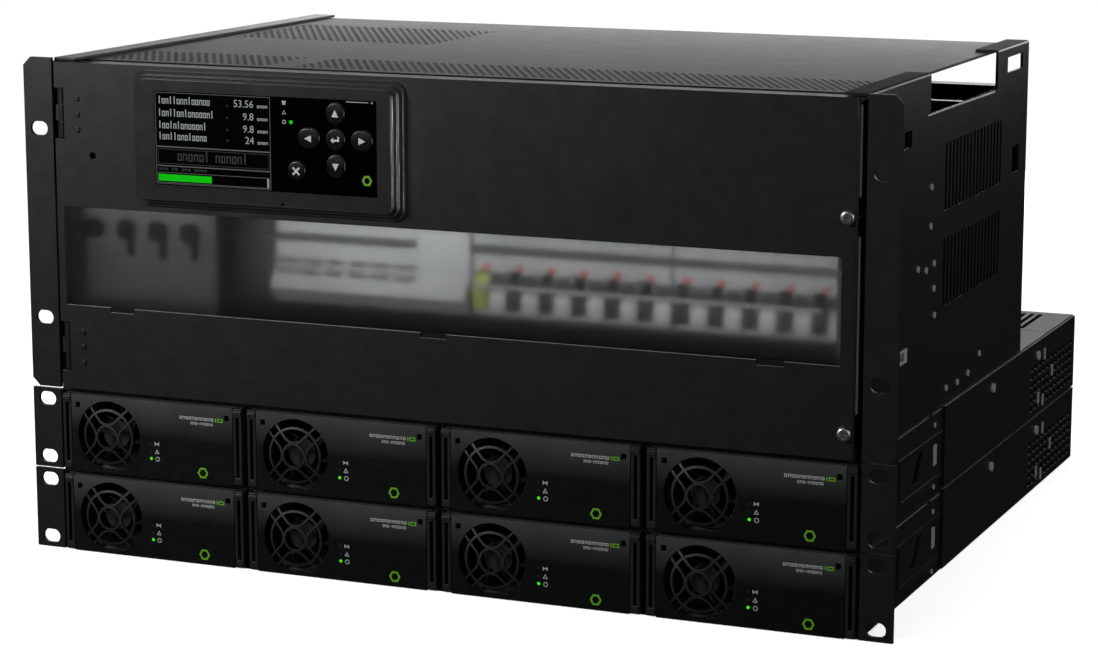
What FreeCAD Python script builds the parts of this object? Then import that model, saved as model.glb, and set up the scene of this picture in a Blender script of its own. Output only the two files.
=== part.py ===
import FreeCAD, Part
import math
import os

# A 6U DC power system for a 19-inch rack: two 1U shelves, each with four hot-plug rectifier
# modules, under a 4U distribution cabinet with breakers, battery switches and a controller door.
# Lengths are millimetres. +X is right seen from the front, +Y is rearward and +Z is up.
# While it is built, Y is measured from the front face of the rack ears. save() then moves it so
# that the origin is at the centre of the bottom of the whole system's box.

# Rack standard
U = 44.45
EAR_SPAN = 482.6
HOLE_SPAN = 465.1
SLOT_LENGTH = 10.5
SLOT_HEIGHT = 7.4
EAR_THICKNESS = 2.0
EAR_LEG_DEPTH = 40.0
EAR_CHAMFER = 4.4
UNIT_GAP = 0.4

# Whole system
BODY_HALF = 224.0
SHEET = 1.5
CAB_BOTTOM = 2 * U
CAB_TOP = 6 * U - UNIT_GAP
CAB_DEPTH = 302.0
SHELF_DEPTH = 430.0
FRONT_MOST = -10.6

# Cabinet
PLATE_FRONT = 3.0
WALL_INNER = BODY_HALF - SHEET
NOTCH_Y = (106.0, 236.0)
NOTCH_Z = 245.3
FLANGE_WIDTH = 11.5
FRAME_FLANGE_Y = 12.0
FRAME_FLANGE_WIDTH = 16.0
FLOOR_FRONT = 11.5
FLOOR_LIP = 11.0
REAR_PANEL_TOP = 241.4
VENT_BANDS = ((142.3, 177.5), (192.5, 227.5))
VENT_Y = (135.5, 250.0)
VENT_SLOTS = 17
VENT_WIDTH = 3.9
COVER_Y = (14.0, 296.0)
COVER_HALF = 218.0
COVER_LIP = 6.0
PERF_PITCH = 4.6
PERF_ROW = 4.0
PERF_RADIUS = 1.35

# Door
DOOR_X = (-221.5, 220.5)
DOOR_Z = (89.6, 264.4)
DOOR_FACE = -2.0
DOOR_RETURN = 10.0
WINDOW_X = (-217.2, 212.9)
WINDOW_Z = (135.3, 188.1)
WINDOW_LAP = 2.4
WINDOW_THICKNESS = 2.0
SILL_NOTCHES = (-183.2, -2.0, 177.4)
HINGE_X = -218.0
HINGE_Y = 0.5
HINGE_ZONES = ((99.9, 125.5), (224.4, 250.3))
PIN_RADIUS = 1.0
KNUCKLE_RADIUS = 1.75
HINGE_RUNNING_GAP = 0.05
RIVET_X = -207.7
SCREW_X = 215.8
SCREW_Z = (102.5, 207.4)

# Controller on the door
BEZEL_X = (-172.0, -17.0)
BEZEL_Z = (191.9, 262.2)
BEZEL_STEPS = ((0.0, -4.0, 6.0), (2.1, -7.0, 5.0), (3.9, -9.5, 4.0))
GLASS_X = (-156.5, -28.8)
GLASS_Z = (203.9, 252.6)
GLASS_Y = (-9.0, -7.2)
POD_X = (-165.0, -25.0)
POD_Z = (196.5, 254.0)
POD_REAR = 22.0
POD_WALL = 2.0
PANEL_LEDGE = 0.7
RESET_AT = (-82.6, 197.4)
BOARD_Y = 2.0
BOARD_THICKNESS = 1.6
KEY_GAP = 0.3
KEY_FRONT = -10.5
# name: (centre x, centre z, width, height, corner radius)
KEYS = {
    "key_up": (-51.6, 245.3, 10.6, 11.6, 5.0),
    "key_left": (-66.8, 232.2, 12.8, 10.8, 5.1),
    "key_enter": (-51.7, 232.2, 11.2, 11.2, 5.4),
    "key_right": (-36.9, 232.2, 12.6, 10.8, 5.1),
    "key_down": (-51.6, 218.6, 10.8, 12.4, 5.1),
    "key_cancel": (-74.0, 215.3, 10.4, 10.2, 4.9),
}
# Raised symbols: outlines about each key's centre
SYMBOLS = {
    "key_up": [((-1.9, -1.6), (1.9, -1.6), (0.0, 2.2))],
    "key_down": [((-1.9, 1.6), (0.0, -2.2), (1.9, 1.6))],
    "key_left": [((-2.3, 0.0), (1.6, -1.8), (1.6, 1.8))],
    "key_right": [((2.3, 0.0), (-1.6, 1.8), (-1.6, -1.8))],
    "key_enter": [
        ((-2.6, -0.3), (-0.8, -1.8), (-0.8, 1.2)),
        ((-0.8, -0.8), (2.4, -0.8), (2.4, 1.7), (1.4, 1.7), (1.4, 0.2), (-0.8, 0.2)),
    ],
    "key_cancel": [
        ((-2.2, -1.5), (-1.5, -2.2), (2.2, 1.5), (1.5, 2.2)),
        ((-2.2, 1.5), (1.5, -2.2), (2.2, -1.5), (-1.5, 2.2)),
    ],
}

# Rectifier modules
MODULES_PER_SHELF = 4
MODULE_WIDTH = 108.6
MODULE_LEFT = -222.1
MODULE_PITCH = 112.0
FACE_Y = -1.5
FASCIA_BACK = 1.5
FASCIA_Z = (0.5, 42.2)
STRIP = 5.0
STRIP_GAP = 0.4
CASE_Y = (2.0, 322.0)
CASE_Z = (1.9, 41.9)
CASE_SHEET = 0.8
LID_TOP = 42.5
CONNECTOR_REAR = 327.0
FAN_X = 28.3
FAN_Z = 20.6
FAN_HOLE = 19.2
GUARD_RINGS = (6.25, 14.5)
GUARD_BAR = 1.2
GUARD_DOME = 3.0
GUARD_BEND = 7.0
FAN_BORE = 17.2
FAN_Y = (3.0, 28.0)
BLADES = 7
LED_X = 54.0
LED_Z = (11.0, 14.9, 19.1)
HANDLE_AXIS_Z = 2.0

# Shelf
SHELF_SHEET = 1.2
PARTITIONS = (-112.05, -0.05, 111.95)
SHELF_TOP_REAR = 366.5
SLEEVE_Y = 143.0
SLEEVE_SHEET = 1.2
REAR_WALL_Y = 424.0
BACKPLANE_Y = 330.0

# Distribution parts behind the door
RAIL_Y = 100.0
RAIL_Z = 160.0
NOSE_Y = 30.0
NOSE_Z = (140.8, 183.0)
SHOULDER_Y = 52.0
SHOULDER_Z = (124.0, 201.0)
GROOVE_Z = (172.4, 177.0)
GROOVE_DEPTH = 3.0
TRIM = 0.4
LOAD_WIDTH = 17.6
LOAD_BREAKERS_X = (15.5, 33.5, 51.5, 69.5, 87.5, 105.5, 125.0, 143.0, 161.0, 179.0, 197.0)
LOAD_TOGGLE_X = -4.4
LOAD_TOGGLE_WIDTH = 7.0
LOAD_AXIS = (36.0, 158.0)
TIE_BAR_Y = (23.2, 25.0)
TIE_BAR_Z = (155.6, 157.8)
INPUT_LEFT = -107.2
INPUT_PITCH = 13.65
INPUT_COUNT = 6
MODULE_GAP = 0.35
RIDGE_Y = 21.3
RIDGE_Z = 149.0
SLANT_TOP = 160.5
INPUT_AXIS = (33.5, 158.6)
BLANK_RIGHT = 4.2
COVER_PLATE_Y = (46.0, 47.2)
SWITCH_X = (-211.8, -192.5, -173.2, -153.9)
SWITCH_Z = 174.0
SWITCH_PLATE_Y = 26.0
KNOB_RADIUS = 6.3

SHIFT_Y = -(FRONT_MOST + SHELF_DEPTH) / 2


# ---------------------------------------------------------------- helpers


def box(x0, x1, y0, y1, z0, z1):
    return Part.makeBox(x1 - x0, y1 - y0, z1 - z0, FreeCAD.Vector(x0, y0, z0))


def rod(x, y, z, radius, length, axis):
    """A cylinder that starts at a point and runs along an axis."""
    return Part.makeCylinder(radius, length, FreeCAD.Vector(x, y, z), FreeCAD.Vector(*axis))


def moved(shape, x=0.0, y=0.0, z=0.0):
    copy = shape.copy()
    copy.translate(FreeCAD.Vector(x, y, z))
    return copy


def fused(shapes):
    joined = shapes[0].fuse(shapes[1:])
    return joined.removeSplitter()


def mirrored(shape):
    return shape.mirror(FreeCAD.Vector(0, 0, 0), FreeCAD.Vector(1, 0, 0))


def solids_of(shape):
    return list(shape.Solids)


def polygon(points):
    corners = [FreeCAD.Vector(*p) for p in points]
    return Part.makePolygon(corners + corners[:1])


def slab(outline, holes, along):
    """A plate: a flat outline with holes, thickened along a vector."""
    face = Part.makeFace([outline] + list(holes), "Part::FaceMakerBullseye")
    return face.extrude(FreeCAD.Vector(*along))


def rect_yz(x, y0, y1, z0, z1):
    return polygon([(x, y0, z0), (x, y1, z0), (x, y1, z1), (x, y0, z1)])


def rect_xz(x0, x1, y, z0, z1):
    return polygon([(x0, y, z0), (x1, y, z0), (x1, y, z1), (x0, y, z1)])


def rect_xy(x0, x1, y0, y1, z):
    return polygon([(x0, y0, z), (x1, y0, z), (x1, y1, z), (x0, y1, z)])


def circle_xy(x, y, z, radius):
    return Part.Wire(Part.makeCircle(radius, FreeCAD.Vector(x, y, z)))


def rounded_block(x0, x1, y0, y1, z0, z1, radius):
    """A block whose four edges along Y are rounded."""
    block = box(x0, x1, y0, y1, z0, z1)
    edges = [e for e in block.Edges if abs(e.tangentAt(e.FirstParameter).y) > 0.99]
    return block.makeFillet(radius, edges)


def save(name, pieces):
    """Writes one node, moved into the system's own frame."""
    solids = []
    for piece in pieces:
        solids += solids_of(piece)
    node = solids[0] if len(solids) == 1 else Part.makeCompound(solids)
    moved(node, y=SHIFT_Y).exportStep("parts/" + name + ".step")


# ---------------------------------------------------------------- cabinet


def vent_slots(x):
    """Two bands of upright ventilation slots in a side plate."""
    pitch = (VENT_Y[1] - VENT_Y[0]) / VENT_SLOTS
    wires = []
    for low, high in VENT_BANDS:
        for i in range(VENT_SLOTS):
            start = VENT_Y[0] + i * pitch
            wires.append(rect_yz(x, start, start + VENT_WIDTH, low, high))
    return wires


def side_plate(notched):
    """A right-hand side plate. The notched one also has the flange that the door screws meet."""
    x = WALL_INNER
    bottom = CAB_BOTTOM
    outline = [(x, PLATE_FRONT, bottom), (x, CAB_DEPTH, bottom), (x, CAB_DEPTH, CAB_TOP)]
    if notched:
        outline += [(x, NOTCH_Y[1], CAB_TOP), (x, NOTCH_Y[1], NOTCH_Z)]
        outline += [(x, NOTCH_Y[0], NOTCH_Z), (x, NOTCH_Y[0], CAB_TOP)]
    outline.append((x, PLATE_FRONT, CAB_TOP))
    holes = vent_slots(x)
    holes.append(rect_yz(x, 59.4, 73.5, 232.5, 241.0))
    holes.append(rect_yz(x, 256.5, 289.0, 252.2, 260.5))
    holes.append(rect_yz(x, 271.0, 286.0, 195.0, 209.8))
    pieces = [slab(polygon(outline), holes, (SHEET, 0, 0))]
    spans = [(PLATE_FRONT, CAB_DEPTH)]
    if notched:
        spans = [(PLATE_FRONT, NOTCH_Y[0]), (NOTCH_Y[1], CAB_DEPTH)]
    for y0, y1 in spans:
        pieces.append(box(x - FLANGE_WIDTH, x, y0, y1, CAB_TOP - SHEET, CAB_TOP))
    pieces.append(box(x - FLANGE_WIDTH, x, CAB_DEPTH - SHEET, CAB_DEPTH, bottom, REAR_PANEL_TOP))
    if notched:
        frame = box(x - FRAME_FLANGE_WIDTH, x, FRAME_FLANGE_Y, FRAME_FLANGE_Y + SHEET, 92.0, 262.0)
        for z in SCREW_Z:
            frame = frame.cut(rod(SCREW_X, FRAME_FLANGE_Y - 1, z, 2.4, SHEET + 2, (0, 1, 0)))
        pieces.append(frame)
    return fused(pieces)


def distribution_floor():
    """The floor sheet, with an angle strip along each side plate."""
    top = CAB_BOTTOM + SHEET
    plate = box(-WALL_INNER, WALL_INNER, FLOOR_FRONT, 299.0, CAB_BOTTOM, top)
    right = box(WALL_INNER - SHEET, WALL_INNER, 16.0, 298.0, top, CAB_BOTTOM + FLOOR_LIP)
    return [plate, right, mirrored(right)]


def rear_panel():
    """The rear sheet, with a stiffening strip along its upper edge."""
    sheet = box(-WALL_INNER, WALL_INNER, 299.0, 300.5, CAB_BOTTOM, REAR_PANEL_TOP)
    lip = box(-208.0, 208.0, 288.0, 299.0, REAR_PANEL_TOP - SHEET, REAR_PANEL_TOP)
    return [sheet, lip]


def perforation(x0, x1, y0, y1, z):
    """Staggered rows of round holes inside a rectangle."""
    wires = []
    rows = int((y1 - y0) / PERF_ROW)
    columns = int((x1 - x0) / PERF_PITCH)
    for row in range(rows):
        stagger = PERF_PITCH / 2 if row % 2 else 0.0
        for column in range(columns):
            x = x0 + PERF_PITCH / 2 + column * PERF_PITCH + stagger
            wires.append(circle_xy(x, y0 + (row + 0.5) * PERF_ROW, z, PERF_RADIUS))
    return wires


def top_cover():
    top = CAB_TOP - SHEET
    z = top - SHEET
    holes = perforation(-205.0, -104.0, 20.0, 70.0, z)
    holes += perforation(-92.0, 207.0, 20.0, 70.0, z)
    holes += perforation(-204.0, -76.0, 160.0, 250.0, z)
    outline = rect_xy(-COVER_HALF, COVER_HALF, COVER_Y[0], COVER_Y[1], z)
    sheet = slab(outline, holes, (0, 0, SHEET))
    lip = box(-COVER_HALF, COVER_HALF, COVER_Y[0], COVER_Y[0] + SHEET, z - COVER_LIP, z)
    return [sheet, lip]


def ear(z0, z1, slot_heights, chamfer, inner):
    """A right-hand rack ear: front flange with slots, and a leg along the side."""
    outer = EAR_SPAN / 2
    points = [(inner, 0, z0), (outer - chamfer, 0, z0), (outer, 0, z0 + chamfer)]
    points += [(outer, 0, z1 - chamfer), (outer - chamfer, 0, z1), (inner, 0, z1)]
    if not chamfer:
        points = [(inner, 0, z0), (outer, 0, z0), (outer, 0, z1), (inner, 0, z1)]
    flange = slab(polygon(points), [], (0, EAR_THICKNESS, 0))
    for z in slot_heights:
        flange = flange.cut(slot_tool(HOLE_SPAN / 2, z))
    leg = box(BODY_HALF, BODY_HALF + EAR_THICKNESS, 0, EAR_LEG_DEPTH, z0 + 2, z1 - 2)
    return fused([flange, leg])


def slot_tool(x, z):
    """A round-ended slot along X."""
    reach = (SLOT_LENGTH - SLOT_HEIGHT) / 2
    radius = SLOT_HEIGHT / 2
    length = EAR_THICKNESS + 2
    tool = box(x - reach, x + reach, -1, length - 1, z - radius, z + radius)
    tool = tool.fuse(rod(x - reach, -1, z, radius, length, (0, 1, 0)))
    return tool.fuse(rod(x + reach, -1, z, radius, length, (0, 1, 0)))


def rack_ears():
    cabinet = ear(CAB_BOTTOM + UNIT_GAP, CAB_TOP, (127.0, 228.6), EAR_CHAMFER, BODY_HALF)
    pieces = [cabinet, mirrored(cabinet)]
    for shelf in range(2):
        base = shelf * U
        small = ear(base + 0.4, base + U - 0.4, (base + 6.35, base + 38.1), 0.0, BODY_HALF)
        pieces += [small, mirrored(small)]
    return pieces


# ---------------------------------------------------------------- door


def door_panel():
    """The folded door sheet, with its window, hinge cut-outs and clearance holes."""
    back = DOOR_FACE + SHEET
    sheet = box(DOOR_X[0], DOOR_X[1], DOOR_FACE, back, DOOR_Z[0], DOOR_Z[1])
    top = box(DOOR_X[0] + 5, DOOR_X[1], back, DOOR_RETURN, DOOR_Z[1] - SHEET, DOOR_Z[1])
    bottom = box(DOOR_X[0] + 5, DOOR_X[1], back, DOOR_RETURN, DOOR_Z[0], DOOR_Z[0] + SHEET)
    pieces = [sheet, top, bottom]
    for z0, z1 in ((110.0, 199.0), (216.0, DOOR_Z[1]), (DOOR_Z[0], 95.0)):
        pieces.append(box(DOOR_X[1] - SHEET, DOOR_X[1], back, DOOR_RETURN, z0, z1))
    door = fused(pieces)
    tools = [box(WINDOW_X[0], WINDOW_X[1], -5, 1, WINDOW_Z[0], WINDOW_Z[1])]
    for x in SILL_NOTCHES:
        tools.append(box(x - 7, x + 7, -5, 1, WINDOW_Z[0] - 2.5, WINDOW_Z[0]))
    for z0, z1 in HINGE_ZONES:
        tools.append(box(DOOR_X[0] - 1, HINGE_X + 2.1, -5, 1, z0 - 0.4, z1 + 0.4))
    for z in SCREW_Z:
        tools.append(rod(SCREW_X, -5, z, 2.3, 6, (0, 1, 0)))
    tools.append(box(POD_X[0], POD_X[1], -5, 1, POD_Z[0], POD_Z[1]))
    tools.append(rod(-198.8, -5, 215.8, 1.9, 6, (0, 1, 0)))
    return door.cut(tools).removeSplitter()


def door_window():
    back = DOOR_FACE + SHEET
    pane = box(
        WINDOW_X[0] - 0.9,
        WINDOW_X[1] + WINDOW_LAP,
        back,
        back + WINDOW_THICKNESS,
        WINDOW_Z[0] - 2 * WINDOW_LAP,
        WINDOW_Z[1] + WINDOW_LAP,
    )
    return pane


def hinge_thirds(zone):
    """The three knuckle spans of one hinge, with a small gap between them."""
    third = (zone[1] - zone[0]) / 3
    spans = []
    for i in range(3):
        spans.append((zone[0] + i * third + 0.15, zone[0] + (i + 1) * third - 0.15))
    return spans


def door_hinge_leaves():
    """The leaves and outer knuckles that are riveted to the door, and their rivets."""
    back = DOOR_FACE + SHEET
    pieces = []
    for zone in HINGE_ZONES:
        leaf = box(HINGE_X + 2.3, RIVET_X + 5, back, back + 1, zone[0], zone[1])
        spans = hinge_thirds(zone)
        for z0, z1 in (spans[0], spans[2]):
            leaf = leaf.fuse(rod(HINGE_X, HINGE_Y, z0, KNUCKLE_RADIUS, z1 - z0, (0, 0, 1)))
            leaf = leaf.fuse(box(HINGE_X, HINGE_X + 2.4, back, back + 1, z0, z1))
        bore = PIN_RADIUS + HINGE_RUNNING_GAP
        leaf = leaf.cut(rod(HINGE_X, HINGE_Y, zone[0] - 1, bore, zone[1] - zone[0] + 2, (0, 0, 1)))
        pieces.append(leaf.removeSplitter())
        middle = (zone[0] + zone[1]) / 2
        for step in (-8.2, 0.0, 8.2):
            pieces.append(rivet_head(RIVET_X, middle + step, 1.6))
    return pieces


def rivet_head(x, z, radius):
    """A low domed head on the door's face."""
    head = rod(x, DOOR_FACE, z, radius, 0.7, (0, -1, 0))
    rim = [e for e in head.Edges if abs(e.BoundBox.YMin - (DOOR_FACE - 0.7)) < 1e-6 and e.Closed]
    return head.makeFillet(0.4, rim[:1])


def door_hinge_frames():
    """The pins, and the leaves and middle knuckles on the left side plate."""
    pieces = []
    for zone in HINGE_ZONES:
        span = hinge_thirds(zone)[1]
        height = span[1] - span[0]
        frame = box(-WALL_INNER, -WALL_INNER + 1, PLATE_FRONT, 11.5, zone[0] - 4, zone[1] + 4)
        web = box(-WALL_INNER, HINGE_X, 1.1, 2.1, span[0], span[1])
        post = box(-WALL_INNER, -WALL_INNER + 1, 1.1, PLATE_FRONT, span[0], span[1])
        knuckle = rod(HINGE_X, HINGE_Y, span[0], KNUCKLE_RADIUS, height, (0, 0, 1))
        bore = rod(HINGE_X, HINGE_Y, span[0] - 1, PIN_RADIUS, height + 2, (0, 0, 1))
        frame = fused([frame, web, post, knuckle]).cut(bore)
        pin = rod(HINGE_X, HINGE_Y, zone[0] + 0.1, PIN_RADIUS, zone[1] - zone[0] - 0.2, (0, 0, 1))
        pieces += [frame, pin]
    return pieces


def door_screw(z):
    """A captive pan-head screw with a cross recess."""
    head = rod(SCREW_X, DOOR_FACE, z, 3.8, 2.6, (0, -1, 0))
    rim = [e for e in head.Edges if e.Closed and abs(e.BoundBox.YMax - (DOOR_FACE - 2.6)) < 1e-6]
    head = head.makeFillet(1.6, rim[:1])
    shank = rod(SCREW_X, DOOR_FACE, z, 1.6, 18.5, (0, 1, 0))
    screw = fused([head, shank])
    front = DOOR_FACE - 2.6
    across = box(SCREW_X - 2.2, SCREW_X + 2.2, front - 1, front + 1.4, z - 0.5, z + 0.5)
    upright = box(SCREW_X - 0.5, SCREW_X + 0.5, front - 1, front + 1.4, z - 2.2, z + 2.2)
    return screw.cut([across, upright])


def controller_housing():
    """A stepped bezel on the door, with a pod behind the door and a board inside it."""
    front = DOOR_FACE
    pieces = []
    for inset, step_front, radius in BEZEL_STEPS:
        pieces.append(
            rounded_block(
                BEZEL_X[0] + inset,
                BEZEL_X[1] - inset,
                step_front,
                front,
                BEZEL_Z[0] + inset,
                BEZEL_Z[1] - inset,
                radius,
            )
        )
        front = step_front
    pieces.append(box(POD_X[0], POD_X[1], DOOR_FACE, POD_REAR, POD_Z[0], POD_Z[1]))
    housing = fused(pieces)
    recess = box(GLASS_X[0], GLASS_X[1], -20, GLASS_Y[1], GLASS_Z[0], GLASS_Z[1])
    left = GLASS_X[0] + PANEL_LEDGE
    right = GLASS_X[1] - PANEL_LEDGE
    low = GLASS_Z[0] + PANEL_LEDGE
    high = GLASS_Z[1] - PANEL_LEDGE
    cavity = box(left, right, GLASS_Y[1] - 1, POD_REAR - POD_WALL, low, high)
    board = box(left, right, BOARD_Y, BOARD_Y + BOARD_THICKNESS, low, high)
    reset = rod(RESET_AT[0], -12, RESET_AT[1], 0.8, 7.0, (0, 1, 0))
    return [housing.cut([recess, cavity, reset]).removeSplitter(), board]


def key_block(key, grow, y0, y1):
    x, z, width, height, radius = KEYS[key]
    half_w = width / 2 + grow
    half_h = height / 2 + grow
    return rounded_block(x - half_w, x + half_w, y0, y1, z - half_h, z + half_h, radius)


def controller_face():
    pane = box(GLASS_X[0], GLASS_X[1], GLASS_Y[0], GLASS_Y[1], GLASS_Z[0], GLASS_Z[1])
    for key in KEYS:
        pane = pane.cut(key_block(key, KEY_GAP, GLASS_Y[0] - 1, GLASS_Y[1] + 1))
    return pane


def key_symbol(key):
    """The raised symbol on a key's cap."""
    x, z = KEYS[key][:2]
    depth = KEY_FRONT + 0.2 - FRONT_MOST
    pieces = []
    for outline in SYMBOLS[key]:
        corners = [(x + across, FRONT_MOST, z + up) for across, up in outline]
        pieces.append(slab(polygon(corners), [], (0, depth, 0)))
    return pieces


def control_key(key):
    """A domed key cap with a raised symbol, a collar behind the panel and a stem to the board."""
    x, z = KEYS[key][:2]
    cap = key_block(key, 0.0, KEY_FRONT, -6.2)
    rim = [e for e in cap.Edges if e.BoundBox.YMax < KEY_FRONT + 1e-6]
    cap = cap.makeFillet(1.0, rim)
    collar = key_block(key, 0.7, -6.8, -6.2)
    stem = rod(x, -6.2, z, 1.5, 7.0, (0, 1, 0))
    return fused([cap, collar, stem] + key_symbol(key))


# ---------------------------------------------------------------- rectifier modules


def guard_arm(angle):
    """One bent guard bar: a short arc beside the inner ring, with two straight legs."""
    start = GUARD_RINGS[0] + GUARD_BAR / 2
    centre = start + GUARD_BEND
    outer = rod(0, -8, centre, GUARD_BEND + GUARD_BAR / 2, 12, (0, 1, 0))
    inner = rod(0, -8, centre, GUARD_BEND - GUARD_BAR / 2, 12, (0, 1, 0))
    reach = 20.0
    wedge = polygon([(0, -8, centre), (-reach, -8, centre - reach), (reach, -8, centre - reach)])
    bend = outer.cut(inner).common(slab(wedge, [], (0, 12, 0)))
    leg = box(0, 22, -8, 4, -GUARD_BAR / 2, GUARD_BAR / 2)
    leg.rotate(FreeCAD.Vector(0, 0, 0), FreeCAD.Vector(0, 1, 0), -45)
    offset = GUARD_BEND * math.sin(math.radians(45))
    right = moved(leg, x=offset, z=centre - offset)
    arm = fused([bend, right, mirrored(right)])
    arm.rotate(FreeCAD.Vector(0, 0, 0), FreeCAD.Vector(0, 1, 0), angle)
    return arm


def fan_guard():
    """A domed guard: two rings and four bent bars, cut from a thin spherical shell."""
    pieces = []
    for radius in GUARD_RINGS:
        ring = rod(0, -8, 0, radius + GUARD_BAR / 2, 12, (0, 1, 0))
        pieces.append(ring.cut(rod(0, -9, 0, radius - GUARD_BAR / 2, 14, (0, 1, 0))))
    for quarter in range(4):
        pieces.append(guard_arm(90 * quarter))
    pattern = fused(pieces)
    sphere = (FAN_HOLE ** 2 + GUARD_DOME ** 2) / (2 * GUARD_DOME)
    centre = FreeCAD.Vector(0, FACE_Y - GUARD_DOME + sphere + 0.5, 0)
    shell = Part.makeSphere(sphere, centre).cut(Part.makeSphere(sphere - GUARD_BAR, centre))
    rim = rod(0, -8, 0, FAN_HOLE, 12, (0, 1, 0))
    return pattern.common(shell).common(rim)


def module_fascia():
    left = STRIP + STRIP_GAP
    right = MODULE_WIDTH - left
    plate = box(left, right, FACE_Y, FASCIA_BACK, FASCIA_Z[0], FASCIA_Z[1])
    tools = [rod(FAN_X, -5, FAN_Z, FAN_HOLE, 10, (0, 1, 0))]
    tools.append(box(7.8, 10.7, -5, 5, 35.0, 38.0))
    tools.append(box(98.2, 101.2, -5, 5, 35.0, 38.0))
    for z in LED_Z:
        tools.append(rod(LED_X, -5, z, 0.8, 10, (0, 1, 0)))
    plate = plate.cut(tools)
    guard = moved(fan_guard(), x=FAN_X, z=FAN_Z)
    tabs = [box(56.0, 60.0, 1.4, 8.0, 2.7, 30.0), box(96.0, 100.0, 1.4, 8.0, 2.7, 30.0)]
    pins = [rod(1.0, 0, HANDLE_AXIS_Z, 0.6, left - 1.0, (1, 0, 0))]
    pins.append(rod(right, 0, HANDLE_AXIS_Z, 0.6, left - 1.0, (1, 0, 0)))
    return fused([plate, guard] + tabs + pins)


def module_case():
    outer = box(0.8, MODULE_WIDTH - 0.8, CASE_Y[0], CASE_Y[1], CASE_Z[0], CASE_Z[1])
    inner = box(
        0.8 + CASE_SHEET,
        MODULE_WIDTH - 0.8 - CASE_SHEET,
        CASE_Y[0] - 1,
        CASE_Y[1] - CASE_SHEET,
        CASE_Z[0] + CASE_SHEET,
        CASE_Z[1] + 1,
    )
    return outer.cut([inner, box(20.0, 88.0, 315.0, 325.0, 8.0, 30.0)])


def heat_sink():
    base = box(60.0, 100.0, 90.0, 230.0, 6.6, 9.6)
    fins = []
    for i in range(8):
        start = 60.0 + i * 5.5
        fins.append(box(start, start + 1.5, 90.0, 230.0, 9.6, 34.0))
    return fused([base] + fins)


def fan_frame():
    frame = box(FAN_X - 19, FAN_X + 19, FAN_Y[0], FAN_Y[1], 2.7, 38.5)
    frame = frame.cut(rod(FAN_X, FAN_Y[0] - 1, FAN_Z, FAN_BORE, 30, (0, 1, 0)))
    motor = rod(FAN_X, 25.2, FAN_Z, 7.0, FAN_Y[1] - 25.2, (0, 1, 0))
    pieces = [frame, motor]
    for i in range(3):
        strut = box(0, FAN_BORE + 0.6, 26.0, FAN_Y[1], -1.0, 1.0)
        strut.rotate(FreeCAD.Vector(0, 0, 0), FreeCAD.Vector(0, 1, 0), 60 + 120 * i)
        pieces.append(moved(strut, x=FAN_X, z=FAN_Z))
    return fused(pieces).cut(rod(FAN_X, 20, FAN_Z, 1.25, 7.5, (0, 1, 0)))


def fan_rotor():
    """The fan's hub, swept blades and shaft, on the fan's own axis."""
    hub = rod(0, 6.0, 0, 8.0, 18.6, (0, 1, 0))
    pieces = [hub, rod(0, 24.0, 0, 1.2, 3.2, (0, 1, 0))]
    for i in range(BLADES):
        blade = box(6.5, 16.3, -8.0, 8.0, -0.6, 0.6)
        blade.rotate(FreeCAD.Vector(0, 0, 0), FreeCAD.Vector(1, 0, 0), 38)
        blade.translate(FreeCAD.Vector(0, 15.0, 0))
        blade.rotate(FreeCAD.Vector(0, 0, 0), FreeCAD.Vector(0, 1, 0), 360.0 * i / BLADES)
        pieces.append(blade)
    rotor = fused(pieces).common(rod(0, 0, 0, 16.6, 30, (0, 1, 0)))
    return moved(rotor, x=FAN_X, z=FAN_Z)


def module_parts():
    """Every fixed piece of one rectifier, in the module's own corner frame."""
    lid = box(0.8, MODULE_WIDTH - 0.8, CASE_Y[0], CASE_Y[1], CASE_Z[1], LID_TOP)
    board = box(4.0, 104.6, 34.0, 314.0, 5.0, 6.6)
    pieces = [module_fascia(), module_case(), lid, board, heat_sink(), fan_frame()]
    for x in (8.0, 100.0):
        for y in (40.0, 306.0):
            pieces.append(rod(x, y, CASE_Z[0] + CASE_SHEET, 2.2, 2.3, (0, 0, 1)))
    pieces.append(box(12.0, 50.0, 100.0, 140.0, 6.6, 36.0))
    pieces.append(box(14.0, 46.0, 160.0, 195.0, 6.6, 33.0))
    for x, y in ((22.0, 225.0), (46.0, 225.0), (22.0, 255.0), (46.0, 255.0)):
        pieces.append(rod(x, y, 6.6, 11.0, 29.0, (0, 0, 1)))
    pieces.append(box(20.0, 88.0, 314.0, CONNECTOR_REAR, 8.0, 30.0))
    for z in LED_Z:
        pieces.append(rod(LED_X, FACE_Y - 0.1, z, 0.8, 4.0, (0, 1, 0)))
    return pieces


def handle_strip():
    """One latch handle: a slotted strip with a rounded, bored lower end and a finger ridge."""
    half = (FASCIA_BACK - FACE_Y) / 2
    strip = box(0, STRIP, FACE_Y, FASCIA_BACK, HANDLE_AXIS_Z, FASCIA_Z[1])
    end = rod(0, 0, HANDLE_AXIS_Z, half, STRIP, (1, 0, 0))
    ridge = box(0, STRIP, FACE_Y - 0.6, FACE_Y, 38.6, 40.8)
    strip = fused([strip, end, ridge])
    slit = box(1.6, 3.4, -5, 5, 5.0, 37.4)
    bore = rod(0.8, 0, HANDLE_AXIS_Z, 0.65, STRIP, (1, 0, 0))
    return strip.cut([slit, bore])


def module_handles():
    left = handle_strip()
    right = moved(mirrored(left), x=MODULE_WIDTH)
    return [left, right]


# ---------------------------------------------------------------- shelves


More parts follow.
